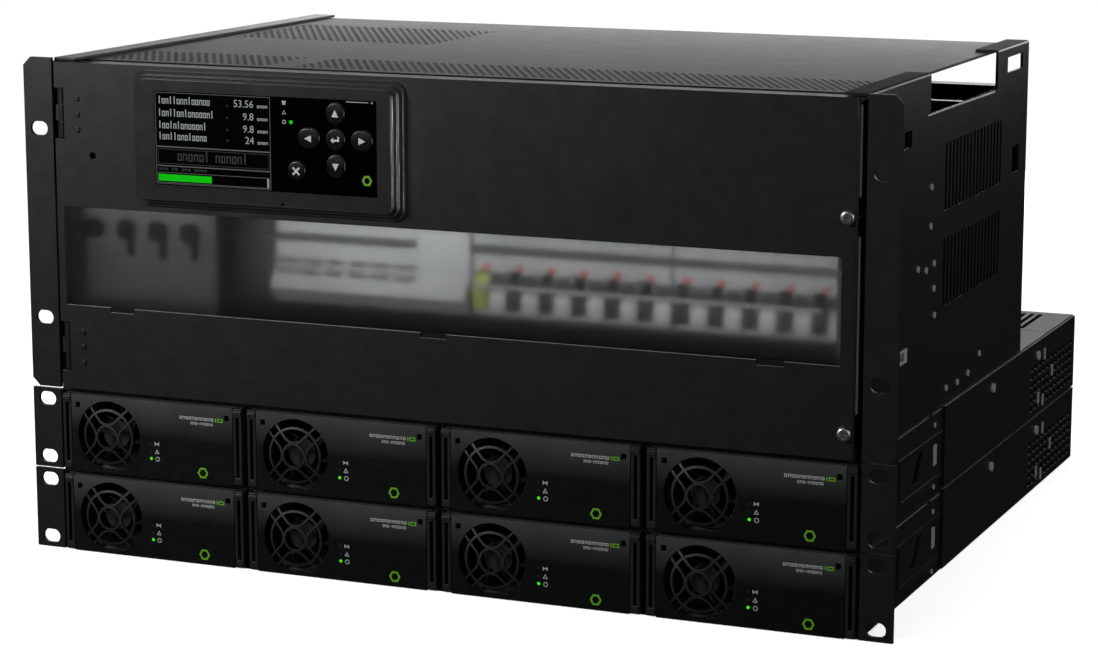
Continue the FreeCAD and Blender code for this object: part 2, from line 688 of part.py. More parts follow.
def shelf_side(base):
    """The right-hand side of a shelf, with its pressed front openings."""
    x = BODY_HALF - SHELF_SHEET
    z = base + SHELF_SHEET
    slanted = [(x, 87.0, base + 13.2), (x, 97.0, base + 13.2)]
    slanted += [(x, 107.0, base + 27.8), (x, 98.0, base + 27.8)]
    upright = rect_yz(x, 125.5, 134.0, base + 15.2, base + 27.8)
    outline = rect_yz(x, 2.0, SHELF_DEPTH, z, base + U - SHELF_SHEET)
    side = slab(outline, [polygon(slanted), upright], (SHELF_SHEET, 0, 0))
    bead = box(BODY_HALF, BODY_HALF + 0.6, 62.0, 141.0, base + 30.3, base + 31.5)
    low_bead = box(BODY_HALF, BODY_HALF + 0.6, 66.0, 141.0, base + 8.0, base + 9.0)
    front_bead = box(BODY_HALF, BODY_HALF + 0.6, 64.6, 66.0, base + 8.0, base + 30.5)
    return fused([side, bead, low_bead, front_bead])


def shelf(base):
    """One 1U shelf: floor, sides, roof, module partitions and a slotted rear wall."""
    high = base + U
    floor = box(-BODY_HALF, BODY_HALF, 2.0, SHELF_DEPTH, base, base + SHELF_SHEET)
    roof = box(-BODY_HALF, BODY_HALF, 2.0, SHELF_TOP_REAR, high - SHELF_SHEET, high)
    side = shelf_side(base)
    pieces = [floor, roof, side, mirrored(side)]
    low = base + SHELF_SHEET
    top = high - SHELF_SHEET
    for x in PARTITIONS:
        pieces.append(box(x - 0.6, x + 0.6, 4.0, 328.0, low, top))
    inner = BODY_HALF - SHELF_SHEET
    wall = rect_xz(-inner, inner, REAR_WALL_Y, low, top)
    pieces.append(slab(wall, rear_wall_slots(base), (0, SHELF_SHEET, 0)))
    return pieces


def rear_wall_slots(base):
    """Exhaust slots, and the cut-outs for the output bars and the input terminals."""
    y = REAR_WALL_Y
    wires = []
    for x0, x1, z0, z1 in ((-62, -38, 13, 27), (38, 62, 13, 27), (118, 192, 7, 35)):
        wires.append(rect_xz(x0, x1, y, base + z0, base + z1))
    for start, count in ((-212.0, 22), (-30.0, 10)):
        for i in range(count):
            x = start + 6.4 * i
            wires.append(rect_xz(x, x + 3, y, base + 8, base + 36))
    return wires


def shelf_rear_covers():
    """The slotted roof behind each shelf's roof, and the side sleeves with their vents."""
    pieces = []
    for shelf_number in range(2):
        base = shelf_number * U
        z = base + U - SHELF_SHEET
        slots = []
        for i in range(84):
            x = -210.0 + i * 5.0
            slots.append(rect_xy(x, x + 2.6, 373.0, 421.0, z))
        outline = rect_xy(-BODY_HALF, BODY_HALF, SHELF_TOP_REAR + 0.5, SHELF_DEPTH, z)
        pieces.append(slab(outline, slots, (0, 0, SHELF_SHEET)))
        sleeve = side_sleeve(base)
        pieces += [sleeve, mirrored(sleeve)]
    return pieces


def side_sleeve(base):
    x = BODY_HALF
    holes = []
    for column in range(11):
        for row in range(6):
            y = 323.0 + column * 9.4
            z = base + 4.5 + row * 4.7
            holes.append(rect_yz(x, y, y + 6.6, z, z + 2.8))
    outline = rect_yz(x, SLEEVE_Y, SHELF_DEPTH, base + 0.6, base + U - 0.6)
    return slab(outline, holes, (SLEEVE_SHEET, 0, 0))


def module_left(slot):
    return MODULE_LEFT + slot * MODULE_PITCH


def backplanes():
    """Behind the modules: a board, its sockets, and an input terminal block for each shelf."""
    pieces = []
    for shelf_number in range(2):
        base = shelf_number * U
        pieces.append(box(-221.0, 221.0, BACKPLANE_Y, BACKPLANE_Y + 2, base + 3.0, base + 41.0))
        for slot in range(MODULES_PER_SHELF):
            x = module_left(slot)
            front = CONNECTOR_REAR + 0.4
            pieces.append(box(x + 20, x + 88, front, BACKPLANE_Y, base + 8, base + 30))
        block = box(118.0, 192.0, 392.0, 428.0, base + 7, base + 35)
        for i in range(6):
            x = 121.0 + i * 12.0
            block = block.cut(box(x, x + 9.0, 418.0, 430.0, base + 11, base + 28))
        pieces.append(block)
        pieces.append(box(130.0, 180.0, BACKPLANE_Y + 2, 392.0, base + 12, base + 24))
    return pieces


# ---------------------------------------------------------------- distribution parts


def din_rail():
    """A top-hat rail that runs from side plate to side plate."""
    half = 17.5
    web = box(-WALL_INNER, WALL_INNER, RAIL_Y + 6.5, RAIL_Y + 7.5, RAIL_Z - 13.5, RAIL_Z + 13.5)
    pieces = [web]
    for step, far in ((12.5, half), (-13.5, -half)):
        low = RAIL_Z + step
        reach = sorted((low, RAIL_Z + far))
        pieces.append(box(-WALL_INNER, WALL_INNER, RAIL_Y, RAIL_Y + 7.0, low, low + 1.0))
        pieces.append(box(-WALL_INNER, WALL_INNER, RAIL_Y, RAIL_Y + 1.0, reach[0], reach[1]))
    return fused(pieces)


def extruded_yz(x0, x1, outline):
    """A solid with a constant side view, given as (y, z) corners."""
    corners = [(x0, y, z) for y, z in outline]
    return slab(polygon(corners), [], (x1 - x0, 0, 0))


def shoulder(x0, x1):
    """The deep part of a breaker, clipped on the rail."""
    return box(x0, x1, SHOULDER_Y, RAIL_Y, SHOULDER_Z[0], SHOULDER_Z[1])


def terminal_groove(x0, x1):
    return box(x0 - 1, x1 + 1, NOSE_Y - 1, NOSE_Y + GROOVE_DEPTH, GROOVE_Z[0], GROOVE_Z[1])


def load_breaker():
    """One 18 mm breaker about x = 0: grooves, a slot and a pin for its toggle, and its trim."""
    half = LOAD_WIDTH / 2
    slot_left = LOAD_TOGGLE_X - LOAD_TOGGLE_WIDTH / 2 - 0.2
    slot_right = LOAD_TOGGLE_X + LOAD_TOGGLE_WIDTH / 2 + 0.2
    axis_y, axis_z = LOAD_AXIS
    body = box(-half, half, NOSE_Y, SHOULDER_Y, NOSE_Z[0], NOSE_Z[1]).fuse(shoulder(-half, half))
    body = body.cut(
        [
            terminal_groove(-half, half),
            box(slot_left, slot_right, NOSE_Y - 1, 43.0, 151.6, 164.2),
            box(slot_right + 0.8, half + 1, NOSE_Y - 1, NOSE_Y + 2.4, 156.4, 163.0),
        ]
    )
    pin = rod(slot_left - 0.3, axis_y, axis_z, 1.0, slot_right - slot_left + 0.6, (1, 0, 0))
    pieces = [body.fuse(pin).removeSplitter()]
    pieces.append(box(-3.6, 0.0, NOSE_Y - TRIM, NOSE_Y, 164.6, 167.2))
    for left in (0.1, 4.5):
        pieces.append(box(left, left + 4.1, NOSE_Y - TRIM, NOSE_Y, 143.6, 152.6))
    return pieces


def load_toggle():
    """A paddle about x = 0: a drum on the pin, with a flat front that the tie bar meets."""
    left = LOAD_TOGGLE_X - LOAD_TOGGLE_WIDTH / 2
    right = LOAD_TOGGLE_X + LOAD_TOGGLE_WIDTH / 2
    axis_y, axis_z = LOAD_AXIS
    front = TIE_BAR_Y[1]
    outline = [(31.2, 159.4), (front, 157.8), (front, 155.4), (27.2, 144.0), (29.2, 144.0)]
    outline += [(29.4, 152.8), (axis_y, 153.0), (axis_y, axis_z)]
    drum = rod(left, axis_y, axis_z, 5.4, LOAD_TOGGLE_WIDTH, (1, 0, 0))
    bore = rod(left - 1, axis_y, axis_z, 1.05, LOAD_TOGGLE_WIDTH + 2, (1, 0, 0))
    return fused([drum, extruded_yz(left, right, outline)]).cut(bore)


def load_toggles():
    """All the load paddles, and the tie bar across them."""
    paddle = load_toggle()
    reach = LOAD_TOGGLE_WIDTH / 2
    left = LOAD_BREAKERS_X[0] + LOAD_TOGGLE_X - reach
    right = LOAD_BREAKERS_X[-1] + LOAD_TOGGLE_X + reach
    bar = box(left, right, TIE_BAR_Y[0], TIE_BAR_Y[1], TIE_BAR_Z[0], TIE_BAR_Z[1])
    return [moved(paddle, x=x) for x in LOAD_BREAKERS_X] + [bar]


def ridged_body(x0, x1):
    """A light housing with a terminal groove and a ridge below its slanted front."""
    outline = [(NOSE_Y, NOSE_Z[1]), (NOSE_Y, SLANT_TOP), (RIDGE_Y, RIDGE_Z), (RIDGE_Y, RIDGE_Z - 0.8)]
    outline += [(27.5, NOSE_Z[0]), (SHOULDER_Y, NOSE_Z[0]), (SHOULDER_Y, NOSE_Z[1])]
    return extruded_yz(x0, x1, outline).fuse(shoulder(x0, x1))


def input_left(number):
    return INPUT_LEFT + number * INPUT_PITCH


def input_breakers():
    """Six slim input breakers, a plain filler, and notches in the ridge at every second joint."""
    axis_y, axis_z = INPUT_AXIS
    pieces = []
    for number in range(INPUT_COUNT):
        left = input_left(number)
        right = left + INPUT_PITCH - MODULE_GAP
        body = ridged_body(left, right)
        tools = [terminal_groove(left, right)]
        tools.append(box(left + 1.3, right - 1.3, 20.0, 38.0, 155.0, 163.4))
        if number % 2:
            tools.append(box(right - 0.5, right + 1, 20.0, RIDGE_Y + 2, 146.0, 152.0))
        pin = rod(left + 1.0, axis_y, axis_z, 0.8, right - left - 2.0, (1, 0, 0))
        pieces.append(body.cut(tools).fuse(pin).removeSplitter())
    pieces.append(ridged_body(input_left(INPUT_COUNT), BLANK_RIGHT).removeSplitter())
    return pieces


def input_toggles():
    """Small dark toggles, almost flush with the slanted front."""
    axis_y, axis_z = INPUT_AXIS
    pieces = []
    for number in range(INPUT_COUNT):
        left = input_left(number) + 1.6
        width = INPUT_PITCH - MODULE_GAP - 3.2
        drum = rod(left, axis_y, axis_z, 3.2, width, (1, 0, 0))
        side = [(33.5, 160.6), (28.6, 159.4), (28.0, 157.2), (33.5, 156.4)]
        lever = extruded_yz(left, left + width, side)
        bore = rod(left - 1, axis_y, axis_z, 0.85, width + 2, (1, 0, 0))
        pieces.append(fused([drum, lever]).cut(bore))
    return pieces


def breaker_cover():
    """A dark plate in front of the breakers' deep parts, with openings for what stands proud."""
    y0, y1 = COVER_PLATE_Y
    outline = rect_xz(-WALL_INNER, WALL_INNER, y0, 100.4, 240.0)
    breakers_left = INPUT_LEFT - 0.6
    breakers_right = LOAD_BREAKERS_X[-1] + LOAD_WIDTH / 2 + 0.6
    holes = [rect_xz(breakers_left, breakers_right, y0, NOSE_Z[0] - 0.5, NOSE_Z[1] + 0.5)]
    holes.append(rect_xz(SWITCH_X[0] - 9.5, SWITCH_X[-1] + 9.5, y0, 135.5, 190.5))
    pieces = [slab(outline, holes, (0, y1 - y0, 0))]
    for z in (104.0, 205.0):
        tab = box(WALL_INNER - 1.2, WALL_INNER, y1, y1 + 12.0, z, z + 16.0)
        pieces += [tab, mirrored(tab)]
    return fused(pieces)


def battery_switches():
    """Four battery switch bodies behind one dark front plate, and the breakers' cover plate."""
    plate = box(-221.5, -142.0, SWITCH_PLATE_Y, SWITCH_PLATE_Y + 2, 128.0, 190.5)
    pieces = []
    for x in SWITCH_X:
        plate = plate.cut(rod(x, SWITCH_PLATE_Y - 1, SWITCH_Z, 2.6, 4, (0, 1, 0)))
        body = box(x - 9.0, x + 9.0, SWITCH_PLATE_Y + 2, RAIL_Y, 136.0, 190.0)
        pieces.append(body.cut(rod(x, SWITCH_PLATE_Y, SWITCH_Z, 2.05, 14, (0, 1, 0))))
    return [plate, breaker_cover()] + pieces


def battery_knob(x, with_lever):
    """A round knob on its shaft. The lever hangs down on the right."""
    knob = rod(x, 18.0, SWITCH_Z, KNOB_RADIUS, 7.7, (0, 1, 0))
    shaft = rod(x, 20.0, SWITCH_Z, 2.0, 19.0, (0, 1, 0))
    pieces = [knob, shaft]
    if with_lever:
        lever = rounded_block(1.1, 5.7, 14.5, 19.0, -15.6, 2.6, 1.6)
        pieces.append(moved(lever, x=x, z=SWITCH_Z))
        pieces.append(rod(x, 14.5, SWITCH_Z, 4.6, 4.5, (0, 1, 0)))
    return fused(pieces)


def busbars():
    """Two output bars on insulators at the rear, and the bars that leave each shelf."""
    pieces = []
    for z in (104.0, 212.0):
        pieces.append(box(-200.0, 200.0, 250.0, 256.0, z, z + 24.0))
        for x in (-170.0, 0.0, 170.0):
            pieces.append(rod(x, 256.0, z + 12.0, 9.0, 43.0, (0, 1, 0)))
    for shelf_number in range(2):
        base = shelf_number * U
        for x in (-60.0, 40.0):
            pieces.append(box(x, x + 20.0, BACKPLANE_Y + 2, 428.0, base + 15.0, base + 25.0))
    return pieces


def shelf_clips(base):
    """Upright clips on a shelf's right-hand sleeve, and the catch in its front opening."""
    x = BODY_HALF + SLEEVE_SHEET
    pieces = []
    for y, low in ((355.0, 30.4), (374.0, 17.3), (342.0, 6.6), (353.0, 3.4)):
        pieces.append(box(x, x + 0.5, y - 1.3, y + 1.3, base + low, base + low + 6.6))
    catch_rear = BODY_HALF - SHELF_SHEET
    pieces.append(box(catch_rear, BODY_HALF, 127.3, 132.2, base + 15.2, base + 26.0))
    return pieces


def fasteners():
    """Rivets, screws and clips on both sides of the cabinet and the shelves."""
    spots = [(110.0, 208.0), (110.0, 188.0), (117.8, 167.8), (118.2, 154.8), (120.5, 140.5)]
    spots += [(88.7, 169.0), (103.3, 166.2), (211.3, 104.2), (188.7, 97.5)]
    spots += [(167.8, 96.5), (146.3, 97.5)]
    pieces = [rod(BODY_HALF, y, z, 1.7, 0.7, (1, 0, 0)) for y, z in spots]
    for shelf_number in range(2):
        base = shelf_number * U
        for y in (237.8, 338.8):
            pieces.append(rod(BODY_HALF + SLEEVE_SHEET, y, base + 35.6, 2.6, 1.2, (1, 0, 0)))
        pieces += shelf_clips(base)
    return pieces + [mirrored(piece) for piece in pieces]


# ---------------------------------------------------------------- the whole system


def build_cabinet():
    save("side_plate_right", [side_plate(True)])
    save("side_plate_left", [mirrored(side_plate(False))])
    save("distribution_floor", distribution_floor())
    save("rear_panel", rear_panel())
    save("top_cover", top_cover())
    save("rack_ears", rack_ears())
    save("door_hinge_frames", door_hinge_frames())
    save("fasteners", fasteners())


def build_door():
    save("door_panel", [door_panel()])
    save("door_window", [door_window()])
    save("door_hinge_leaves", door_hinge_leaves())
    save("door_screw_lower", [door_screw(SCREW_Z[0])])
    save("door_screw_upper", [door_screw(SCREW_Z[1])])
    save("controller_housing", controller_housing())
    save("controller_face", [controller_face()])
    for key in KEYS:
        save(key, [control_key(key)])


def build_modules():
    fixed = module_parts()
    rotor = fan_rotor()
    handles = module_handles()
    number = 0
    for shelf_number in (1, 0):
        for slot in range(MODULES_PER_SHELF):
            number += 1
            x = module_left(slot)
            z = shelf_number * U
            save("rectifier_" + str(number), [moved(piece, x=x, z=z) for piece in fixed])
            save("fan_rotor_" + str(number), [moved(rotor, x=x, z=z)])
            save("module_handles_" + str(number), [moved(piece, x=x, z=z) for piece in handles])


def build_shelves():
    save("shelf_lower", shelf(0.0))
    save("shelf_upper", shelf(U))
    save("shelf_rear_covers", shelf_rear_covers())
    save("backplanes", backplanes())


def build_distribution():
    save("din_rail", [din_rail()])
    load_pieces = load_breaker()
    save("load_breakers", [moved(piece, x=x) for x in LOAD_BREAKERS_X for piece in load_pieces])
    save("input_breakers", input_breakers())
    save("load_breaker_toggles", load_toggles())
    save("input_breaker_toggles", input_toggles())
    save("battery_switches", battery_switches())
    for number, x in enumerate(SWITCH_X, 1):
        save("battery_knob_" + str(number), [battery_knob(x, number > 1)])
    save("busbars", busbars())


os.makedirs("parts", exist_ok=True)
build_cabinet()
build_door()
build_modules()
build_shelves()
build_distribution()
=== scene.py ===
import math

import bmesh
import bpy
import numpy as np
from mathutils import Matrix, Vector


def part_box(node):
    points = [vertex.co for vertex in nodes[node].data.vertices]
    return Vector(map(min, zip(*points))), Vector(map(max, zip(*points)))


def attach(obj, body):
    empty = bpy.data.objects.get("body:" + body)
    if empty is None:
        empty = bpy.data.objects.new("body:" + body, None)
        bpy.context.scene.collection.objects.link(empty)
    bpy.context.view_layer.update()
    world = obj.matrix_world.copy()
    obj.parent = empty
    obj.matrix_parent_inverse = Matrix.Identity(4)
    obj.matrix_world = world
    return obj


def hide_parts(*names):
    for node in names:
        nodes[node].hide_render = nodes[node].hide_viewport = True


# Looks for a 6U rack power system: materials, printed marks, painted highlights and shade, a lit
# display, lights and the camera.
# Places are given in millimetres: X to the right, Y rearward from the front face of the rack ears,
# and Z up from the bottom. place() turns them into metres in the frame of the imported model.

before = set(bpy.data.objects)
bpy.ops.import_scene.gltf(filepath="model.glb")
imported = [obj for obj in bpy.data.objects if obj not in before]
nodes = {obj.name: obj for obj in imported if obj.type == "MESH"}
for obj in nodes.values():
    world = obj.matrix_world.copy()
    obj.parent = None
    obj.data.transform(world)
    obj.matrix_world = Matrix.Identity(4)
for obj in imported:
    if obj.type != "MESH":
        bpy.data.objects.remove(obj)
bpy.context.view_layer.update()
scene = bpy.context.scene

MM = 0.001
EAR_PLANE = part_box("rack_ears")[0].y

# Height of one rack unit, height of the whole object, and the planes that marks lie on
U = 44.45
TOP = 266.3
SIDE_FACE = 224.0
DOOR_EDGE = 220.5
FASCIA_FRONT = -1.5
GLASS_FRONT = -9.0
KEY_SYMBOL_FACE = -10.57
BEZEL_STEPS = (-4.0, -7.0, -9.5)

# The eight modules stand four to a shelf
MODULES = 8
MODULE_LEFT = -222.1
MODULE_PITCH = 112.0
# Solids inside a module: material, and ranges in X, Y and Z. X and Z count from its lower left.
MODULE_SOLIDS = (
    ("fan", (9.1, 47.5), (2.5, 28.1), (2.69, 38.6)),
    ("board", (3.9, 104.7), (33.9, 314.1), (4.9, 6.7)),
    ("alloy", (59.9, 100.1), (89.9, 230.1), (6.7, 34.1)),
    ("sleeve", (10.9, 57.1), (213.9, 266.1), (6.7, 35.7)),
    ("toggle", (11.9, 50.1), (99.9, 195.1), (6.7, 36.1)),
)

# Thickness of a printed mark, and the angles above which an edge is bevelled or stays sharp
PRINT = 0.06
BEVEL_ABOVE = math.radians(40)
SHARP_ABOVE = math.radians(35)

KEYS = ("up", "left", "enter", "right", "down", "cancel")
BREAKER_ROW = ("battery_switches", "input_breakers", "input_breaker_toggles", "load_breakers",
               "load_breaker_toggles")
BEHIND_WINDOW = BREAKER_ROW + ("distribution_floor", "rear_panel", "din_rail", "door_window")
# Lamps behind the window: name, middle and width along X, and power in watts
CABINET_LAMPS = (
    ("lamp_switches", -182.0, 76.0, 0.010),
    ("lamp_left", -52.0, 108.0, 0.0135),
    ("lamp_middle", 50.0, 90.0, 0.0055),
    ("lamp_right", 150.0, 105.0, 0.0070),
)


def place(x, y, z):
    """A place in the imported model's frame, in metres."""
    return Vector((x * MM, EAR_PLANE + y * MM, z * MM))


# ---------------------------------------------------------------- camera, lights and floor


def add_camera():
    data = bpy.data.cameras.new("camera")
    data.lens = 99.32
    data.sensor_width = 36.0
    data.clip_start = 0.05
    data.clip_end = 50.0
    camera = bpy.data.objects.new("camera", data)
    camera.location = (0.64196, -1.57160, 0.41990)
    camera.rotation_euler = (math.radians(79.295), 0.0, math.radians(23.106))
    scene.collection.objects.link(camera)
    scene.camera = camera


def add_softbox(name, location, target, size, power):
    """A rectangular light at a location that shines at a target. Places and sizes in metres."""
    data = bpy.data.lights.new(name, "AREA")
    data.shape = "RECTANGLE"
    data.size, data.size_y = size
    data.energy = power
    light = bpy.data.objects.new(name, data)
    light.location = location
    aim = Vector(target) - Vector(location)
    light.rotation_euler = aim.to_track_quat("-Z", "Y").to_euler()
    light.visible_camera = False
    scene.collection.objects.link(light)
    return light


def add_world():
    """White to the camera, and dim to everything else, so that the black parts stay black."""
    world = bpy.data.worlds.new("studio")
    scene.world = world
    world.use_nodes = True
    tree = world.node_tree
    tree.nodes.clear()
    path = tree.nodes.new("ShaderNodeLightPath")
    dim = tree.nodes.new("ShaderNodeBackground")
    dim.inputs["Color"].default_value = (0.9, 0.95, 1.0, 1.0)
    dim.inputs["Strength"].default_value = 0.022
    white = tree.nodes.new("ShaderNodeBackground")
    white.inputs["Color"].default_value = (1.0, 1.0, 1.0, 1.0)
    mix = tree.nodes.new("ShaderNodeMixShader")
    output = tree.nodes.new("ShaderNodeOutputWorld")
    tree.links.new(path.outputs["Is Camera Ray"], mix.inputs["Fac"])
    tree.links.new(dim.outputs["Background"], mix.inputs[1])
    tree.links.new(white.outputs["Background"], mix.inputs[2])
    tree.links.new(mix.outputs["Shader"], output.inputs["Surface"])


def add_floor():
    mesh = bpy.data.meshes.new("floor")
    reach = 14.0
    corners = [(-reach, -reach, 0), (reach, -reach, 0), (reach, reach, 0), (-reach, reach, 0)]
    mesh.from_pydata(corners, [], [(0, 1, 2, 3)])
    floor = bpy.data.objects.new("floor", mesh)
    scene.collection.objects.link(floor)
    material = bpy.data.materials.new("floor")
    material.use_nodes = True
    shader = material.node_tree.nodes["Principled BSDF"]
    shader.inputs["Base Color"].default_value = (0.9, 0.9, 0.9, 1.0)
    shader.inputs["Roughness"].default_value = 0.9
    mesh.materials.append(material)
    floor.visible_diffuse = False
    floor.visible_glossy = False
    return floor


def light_only(light, pieces):
    """Limits a light to a few objects."""
    group = bpy.data.collections.new("lit_by_" + light.name)
    for piece in pieces:
        group.objects.link(piece)
    light.light_linking.receiver_collection = group


def spare(light, pieces):
    """Keeps a light off a few objects."""
    group = bpy.data.collections.new("not_lit_by_" + light.name)
    for piece in pieces:
        group.objects.link(piece)
    for member in group.collection_objects:
        member.light_linking.link_state = "EXCLUDE"
    light.light_linking.receiver_collection = group


def add_floor_lights(floor):
    """Two wide suns that light only the floor. The weaker one casts a faint shadow on it."""
    width = math.radians(70)
    for name, energy, shadow in (("floor_sun", 3.25, False), ("floor_shadow_sun", 0.45, True)):
        data = bpy.data.lights.new(name, "SUN")
        data.energy = energy
        data.angle = width
        data.use_shadow = shadow
        light = bpy.data.objects.new(name, data)
        light.rotation_euler = (math.radians(8), math.radians(-10), 0)
        scene.collection.objects.link(light)
        light_only(light, [floor])


def add_lights():
    """Soft light from the upper left, with weaker lights that follow single faces."""
    key = add_softbox("key", (-0.72, -0.98, 0.58), (-0.20, -0.21, 0.24), (0.28, 0.28), 7.5)
    spare(key, [nodes[name] for name in BEHIND_WINDOW])
    fill = add_softbox("fill", (0.9, -1.6, 0.8), (0.0, 0.0, 0.12), (0.8, 0.8), 1.0)
    spare(fill, [nodes["door_window"]])
    inside = add_softbox("inside", (0.0, -1.25, 0.13), (0.0, -0.2, 0.155), (0.8, 0.1), 2.4)
    light_only(inside, [nodes[name] for name in BREAKER_ROW])
    add_softbox("side_strip", (1.30, -0.95, 0.45), (0.0, -0.2, 0.2), (0.08, 0.7), 2.2)
    add_softbox("back", (-0.15, 1.5, 0.13), (-0.05, 0.0, 0.13), (0.6, 0.2), 3.0)
    add_softbox("left_side", (-1.4, 0.35, 0.14), (0.0, 0.0, 0.14), (0.5, 0.2), 2.2)
    add_softbox("overhead", (0.0, 0.6, 1.6), (0.0, 0.1, 0.2), (2.0, 1.2), 2.8)
    add_softbox("horizon", (-0.05, 0.32, 0.31), (-0.05, 0.02, 0.262), (1.2, 0.06), 0.95)
    # Level with the bezel's steps, so it catches their right-hand edges and misses the bezel's face
    step = -0.2160
    sliver = add_softbox("bezel_sliver", (1.0, step, 0.16), (0.0, step, 0.21), (0.005, 0.3), 160.0)
    sliver.visible_diffuse = False
    light_only(sliver, [nodes["controller_housing"]])
    rim = add_softbox("rim", (1.1, -0.80, 0.16), place(-60, -5, 225), (0.3, 0.32), 6.0)
    rim.visible_diffuse = False
    light_only(rim, [nodes["controller_housing"]] + [nodes["key_" + key] for key in KEYS])
    for name, x, width, power in CABINET_LAMPS:
        lamp = add_softbox(name, place(x, 8, 195), place(x, 30, 156), (width * MM, 0.004), power)
        lamp.visible_transmission = False
        lamp.visible_glossy = False


# ---------------------------------------------------------------- materials


class Tree:
    """A material's nodes, with short ways to add and join them."""

    def __init__(self, name):
        self.material = bpy.data.materials.new(name)
        self.material.use_nodes = True
        self.nodes = self.material.node_tree.nodes
        self.links = self.material.node_tree.links
        self.shader = self.nodes["Principled BSDF"]
        self.where = self.nodes.new("ShaderNodeTexCoord").outputs["Object"]

    def set(self, **values):
        for name, value in values.items():
            self.shader.inputs[name.replace("_", " ")].default_value = value

    def noise(self, size, detail=2.0, stretch=(1.0, 1.0, 1.0)):
        """A noise pattern whose marks are about size millimetres across."""
        scale = self.nodes.new("ShaderNodeMapping")
        scale.inputs["Scale"].default_value = stretch
        self.links.new(self.where, scale.inputs["Vector"])
        noise = self.nodes.new("ShaderNodeTexNoise")
        noise.inputs["Scale"].default_value = 1.0 / (size * MM)
        noise.inputs["Detail"].default_value = detail
        self.links.new(scale.outputs["Vector"], noise.inputs["Vector"])
        return noise.outputs["Fac"]

    def ramp(self, value, low, high, start=0.3, end=0.7):
        """Maps a pattern to a range of numbers."""
        node = self.nodes.new("ShaderNodeMapRange")
        node.inputs["From Min"].default_value = start
        node.inputs["From Max"].default_value = end
        node.inputs["To Min"].default_value = low
        node.inputs["To Max"].default_value = high
        self.links.new(value, node.inputs["Value"])
        return node.outputs["Result"]

    def blend(self, factor, first, second):
        """Mixes two colours, each a tuple or another node's output."""
        node = self.nodes.new("ShaderNodeMix")
        node.data_type = "RGBA"
        self.links.new(factor, node.inputs["Factor"])
        for socket, colour in ((node.inputs[6], first), (node.inputs[7], second)):
            if isinstance(colour, tuple):
                socket.default_value = (*colour, 1.0)
            else:
                self.links.new(colour, socket)
        return node.outputs[2]

    def bump(self, height, strength, depth):
        node = self.nodes.new("ShaderNodeBump")
        node.inputs["Strength"].default_value = strength
        node.inputs["Distance"].default_value = depth * MM
        self.links.new(height, node.inputs["Height"])
        if self.shader.inputs["Normal"].is_linked:
            before = self.shader.inputs["Normal"].links[0].from_socket
            self.links.new(before, node.inputs["Normal"])
        self.links.new(node.outputs["Normal"], self.shader.inputs["Normal"])

    def drive(self, name, value):
        self.links.new(value, self.shader.inputs[name])


def scaled(colour, factor):
    return tuple(channel * factor for channel in colour)


def coated(name, colour, roughness, grain=1.0, relief=0.05, wave=0.0, **fixed):
    """Paint or moulded plastic: a fine grain, soft mottling and an uneven gloss."""
    tree = Tree(name)
    cloud = tree.noise(26.0, 4.0)
    tree.drive("Base Color", tree.blend(cloud, scaled(colour, 0.93), scaled(colour, 1.07)))
    tree.drive("Roughness", tree.ramp(tree.noise(9.0, 3.0), roughness - 0.02, roughness + 0.03))
    tree.bump(tree.noise(grain, 3.0), 0.5, relief)
    if wave:
        tree.bump(tree.noise(60.0, 1.0), 0.2, wave)
    tree.set(**fixed)
    return tree.material


def metal(name, colour, roughness, stretch):
    """Rolled or plated metal: streaks along one direction."""
    tree = Tree(name)
    streaks = tree.noise(1.2, 3.0, stretch)
    spangle = tree.noise(7.0, 1.0)
    shade = tree.blend(spangle, scaled(colour, 0.8), scaled(colour, 1.1))
    tree.drive("Base Color", shade)
    tree.drive("Roughness", tree.ramp(streaks, roughness - 0.07, roughness + 0.1))
    tree.bump(streaks, 0.3, 0.03)
    tree.set(Metallic=1.0)
    return tree.material


def fascia(name):
    """Module front that runs to a lighter, slightly greener grey towards the upper edge of each
    rack unit: a painted highlight where light from above falls on the front.
    """
    tree = Tree(name)
    axes = tree.nodes.new("ShaderNodeSeparateXYZ")
    tree.links.new(tree.where, axes.inputs["Vector"])
    unit = tree.nodes.new("ShaderNodeMath")
    unit.operation = "MODULO"
    unit.inputs[1].default_value = U * MM
    tree.links.new(axes.outputs["Z"], unit.inputs[0])
    # Painted highlight: the colour rises towards the top of each rack unit.
    rise = tree.ramp(unit.outputs["Value"], 0.0, 1.0, 22 * MM, 43 * MM)
    shade = tree.blend(rise, (0.0025, 0.0040, 0.0036), (0.075, 0.083, 0.081))
    cloud = tree.ramp(tree.noise(18.0, 3.0), 0.0, 0.25)
    tree.drive("Base Color", tree.blend(cloud, shade, (0.003, 0.0045, 0.004)))
    tree.drive("Roughness", tree.ramp(tree.noise(6.0, 3.0), 0.42, 0.50))
    tree.bump(tree.noise(0.7, 2.0), 0.4, 0.02)
    tree.set(Specular_IOR_Level=0.22)
    return tree.material


def key_cap(node):
    """Dark glossy key that is lighter towards its upper edge: a painted highlight where light from
    above falls on its dome.
    """
    tree = Tree(node + "_plastic")
    low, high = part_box(node)
    axes = tree.nodes.new("ShaderNodeSeparateXYZ")
    tree.links.new(tree.where, axes.inputs["Vector"])
    # Painted highlight: lighter from the middle of the key to its top.
    rise = tree.ramp(axes.outputs["Z"], 0.0, 1.0, (low.z + high.z) / 2, high.z)
    shade = tree.blend(rise, (0.0015, 0.0015, 0.0017), (0.045, 0.045, 0.047))
    cloud = tree.ramp(tree.noise(4.0, 2.0), 0.0, 0.12)
    tree.drive("Base Color", tree.blend(cloud, shade, (0.02, 0.02, 0.022)))
    tree.drive("Roughness", tree.ramp(tree.noise(3.0, 2.0), 0.24, 0.30))
    tree.bump(tree.noise(2.0, 2.0), 0.3, 0.01)
    tree.set(Specular_IOR_Level=0.3)
    return tree.material


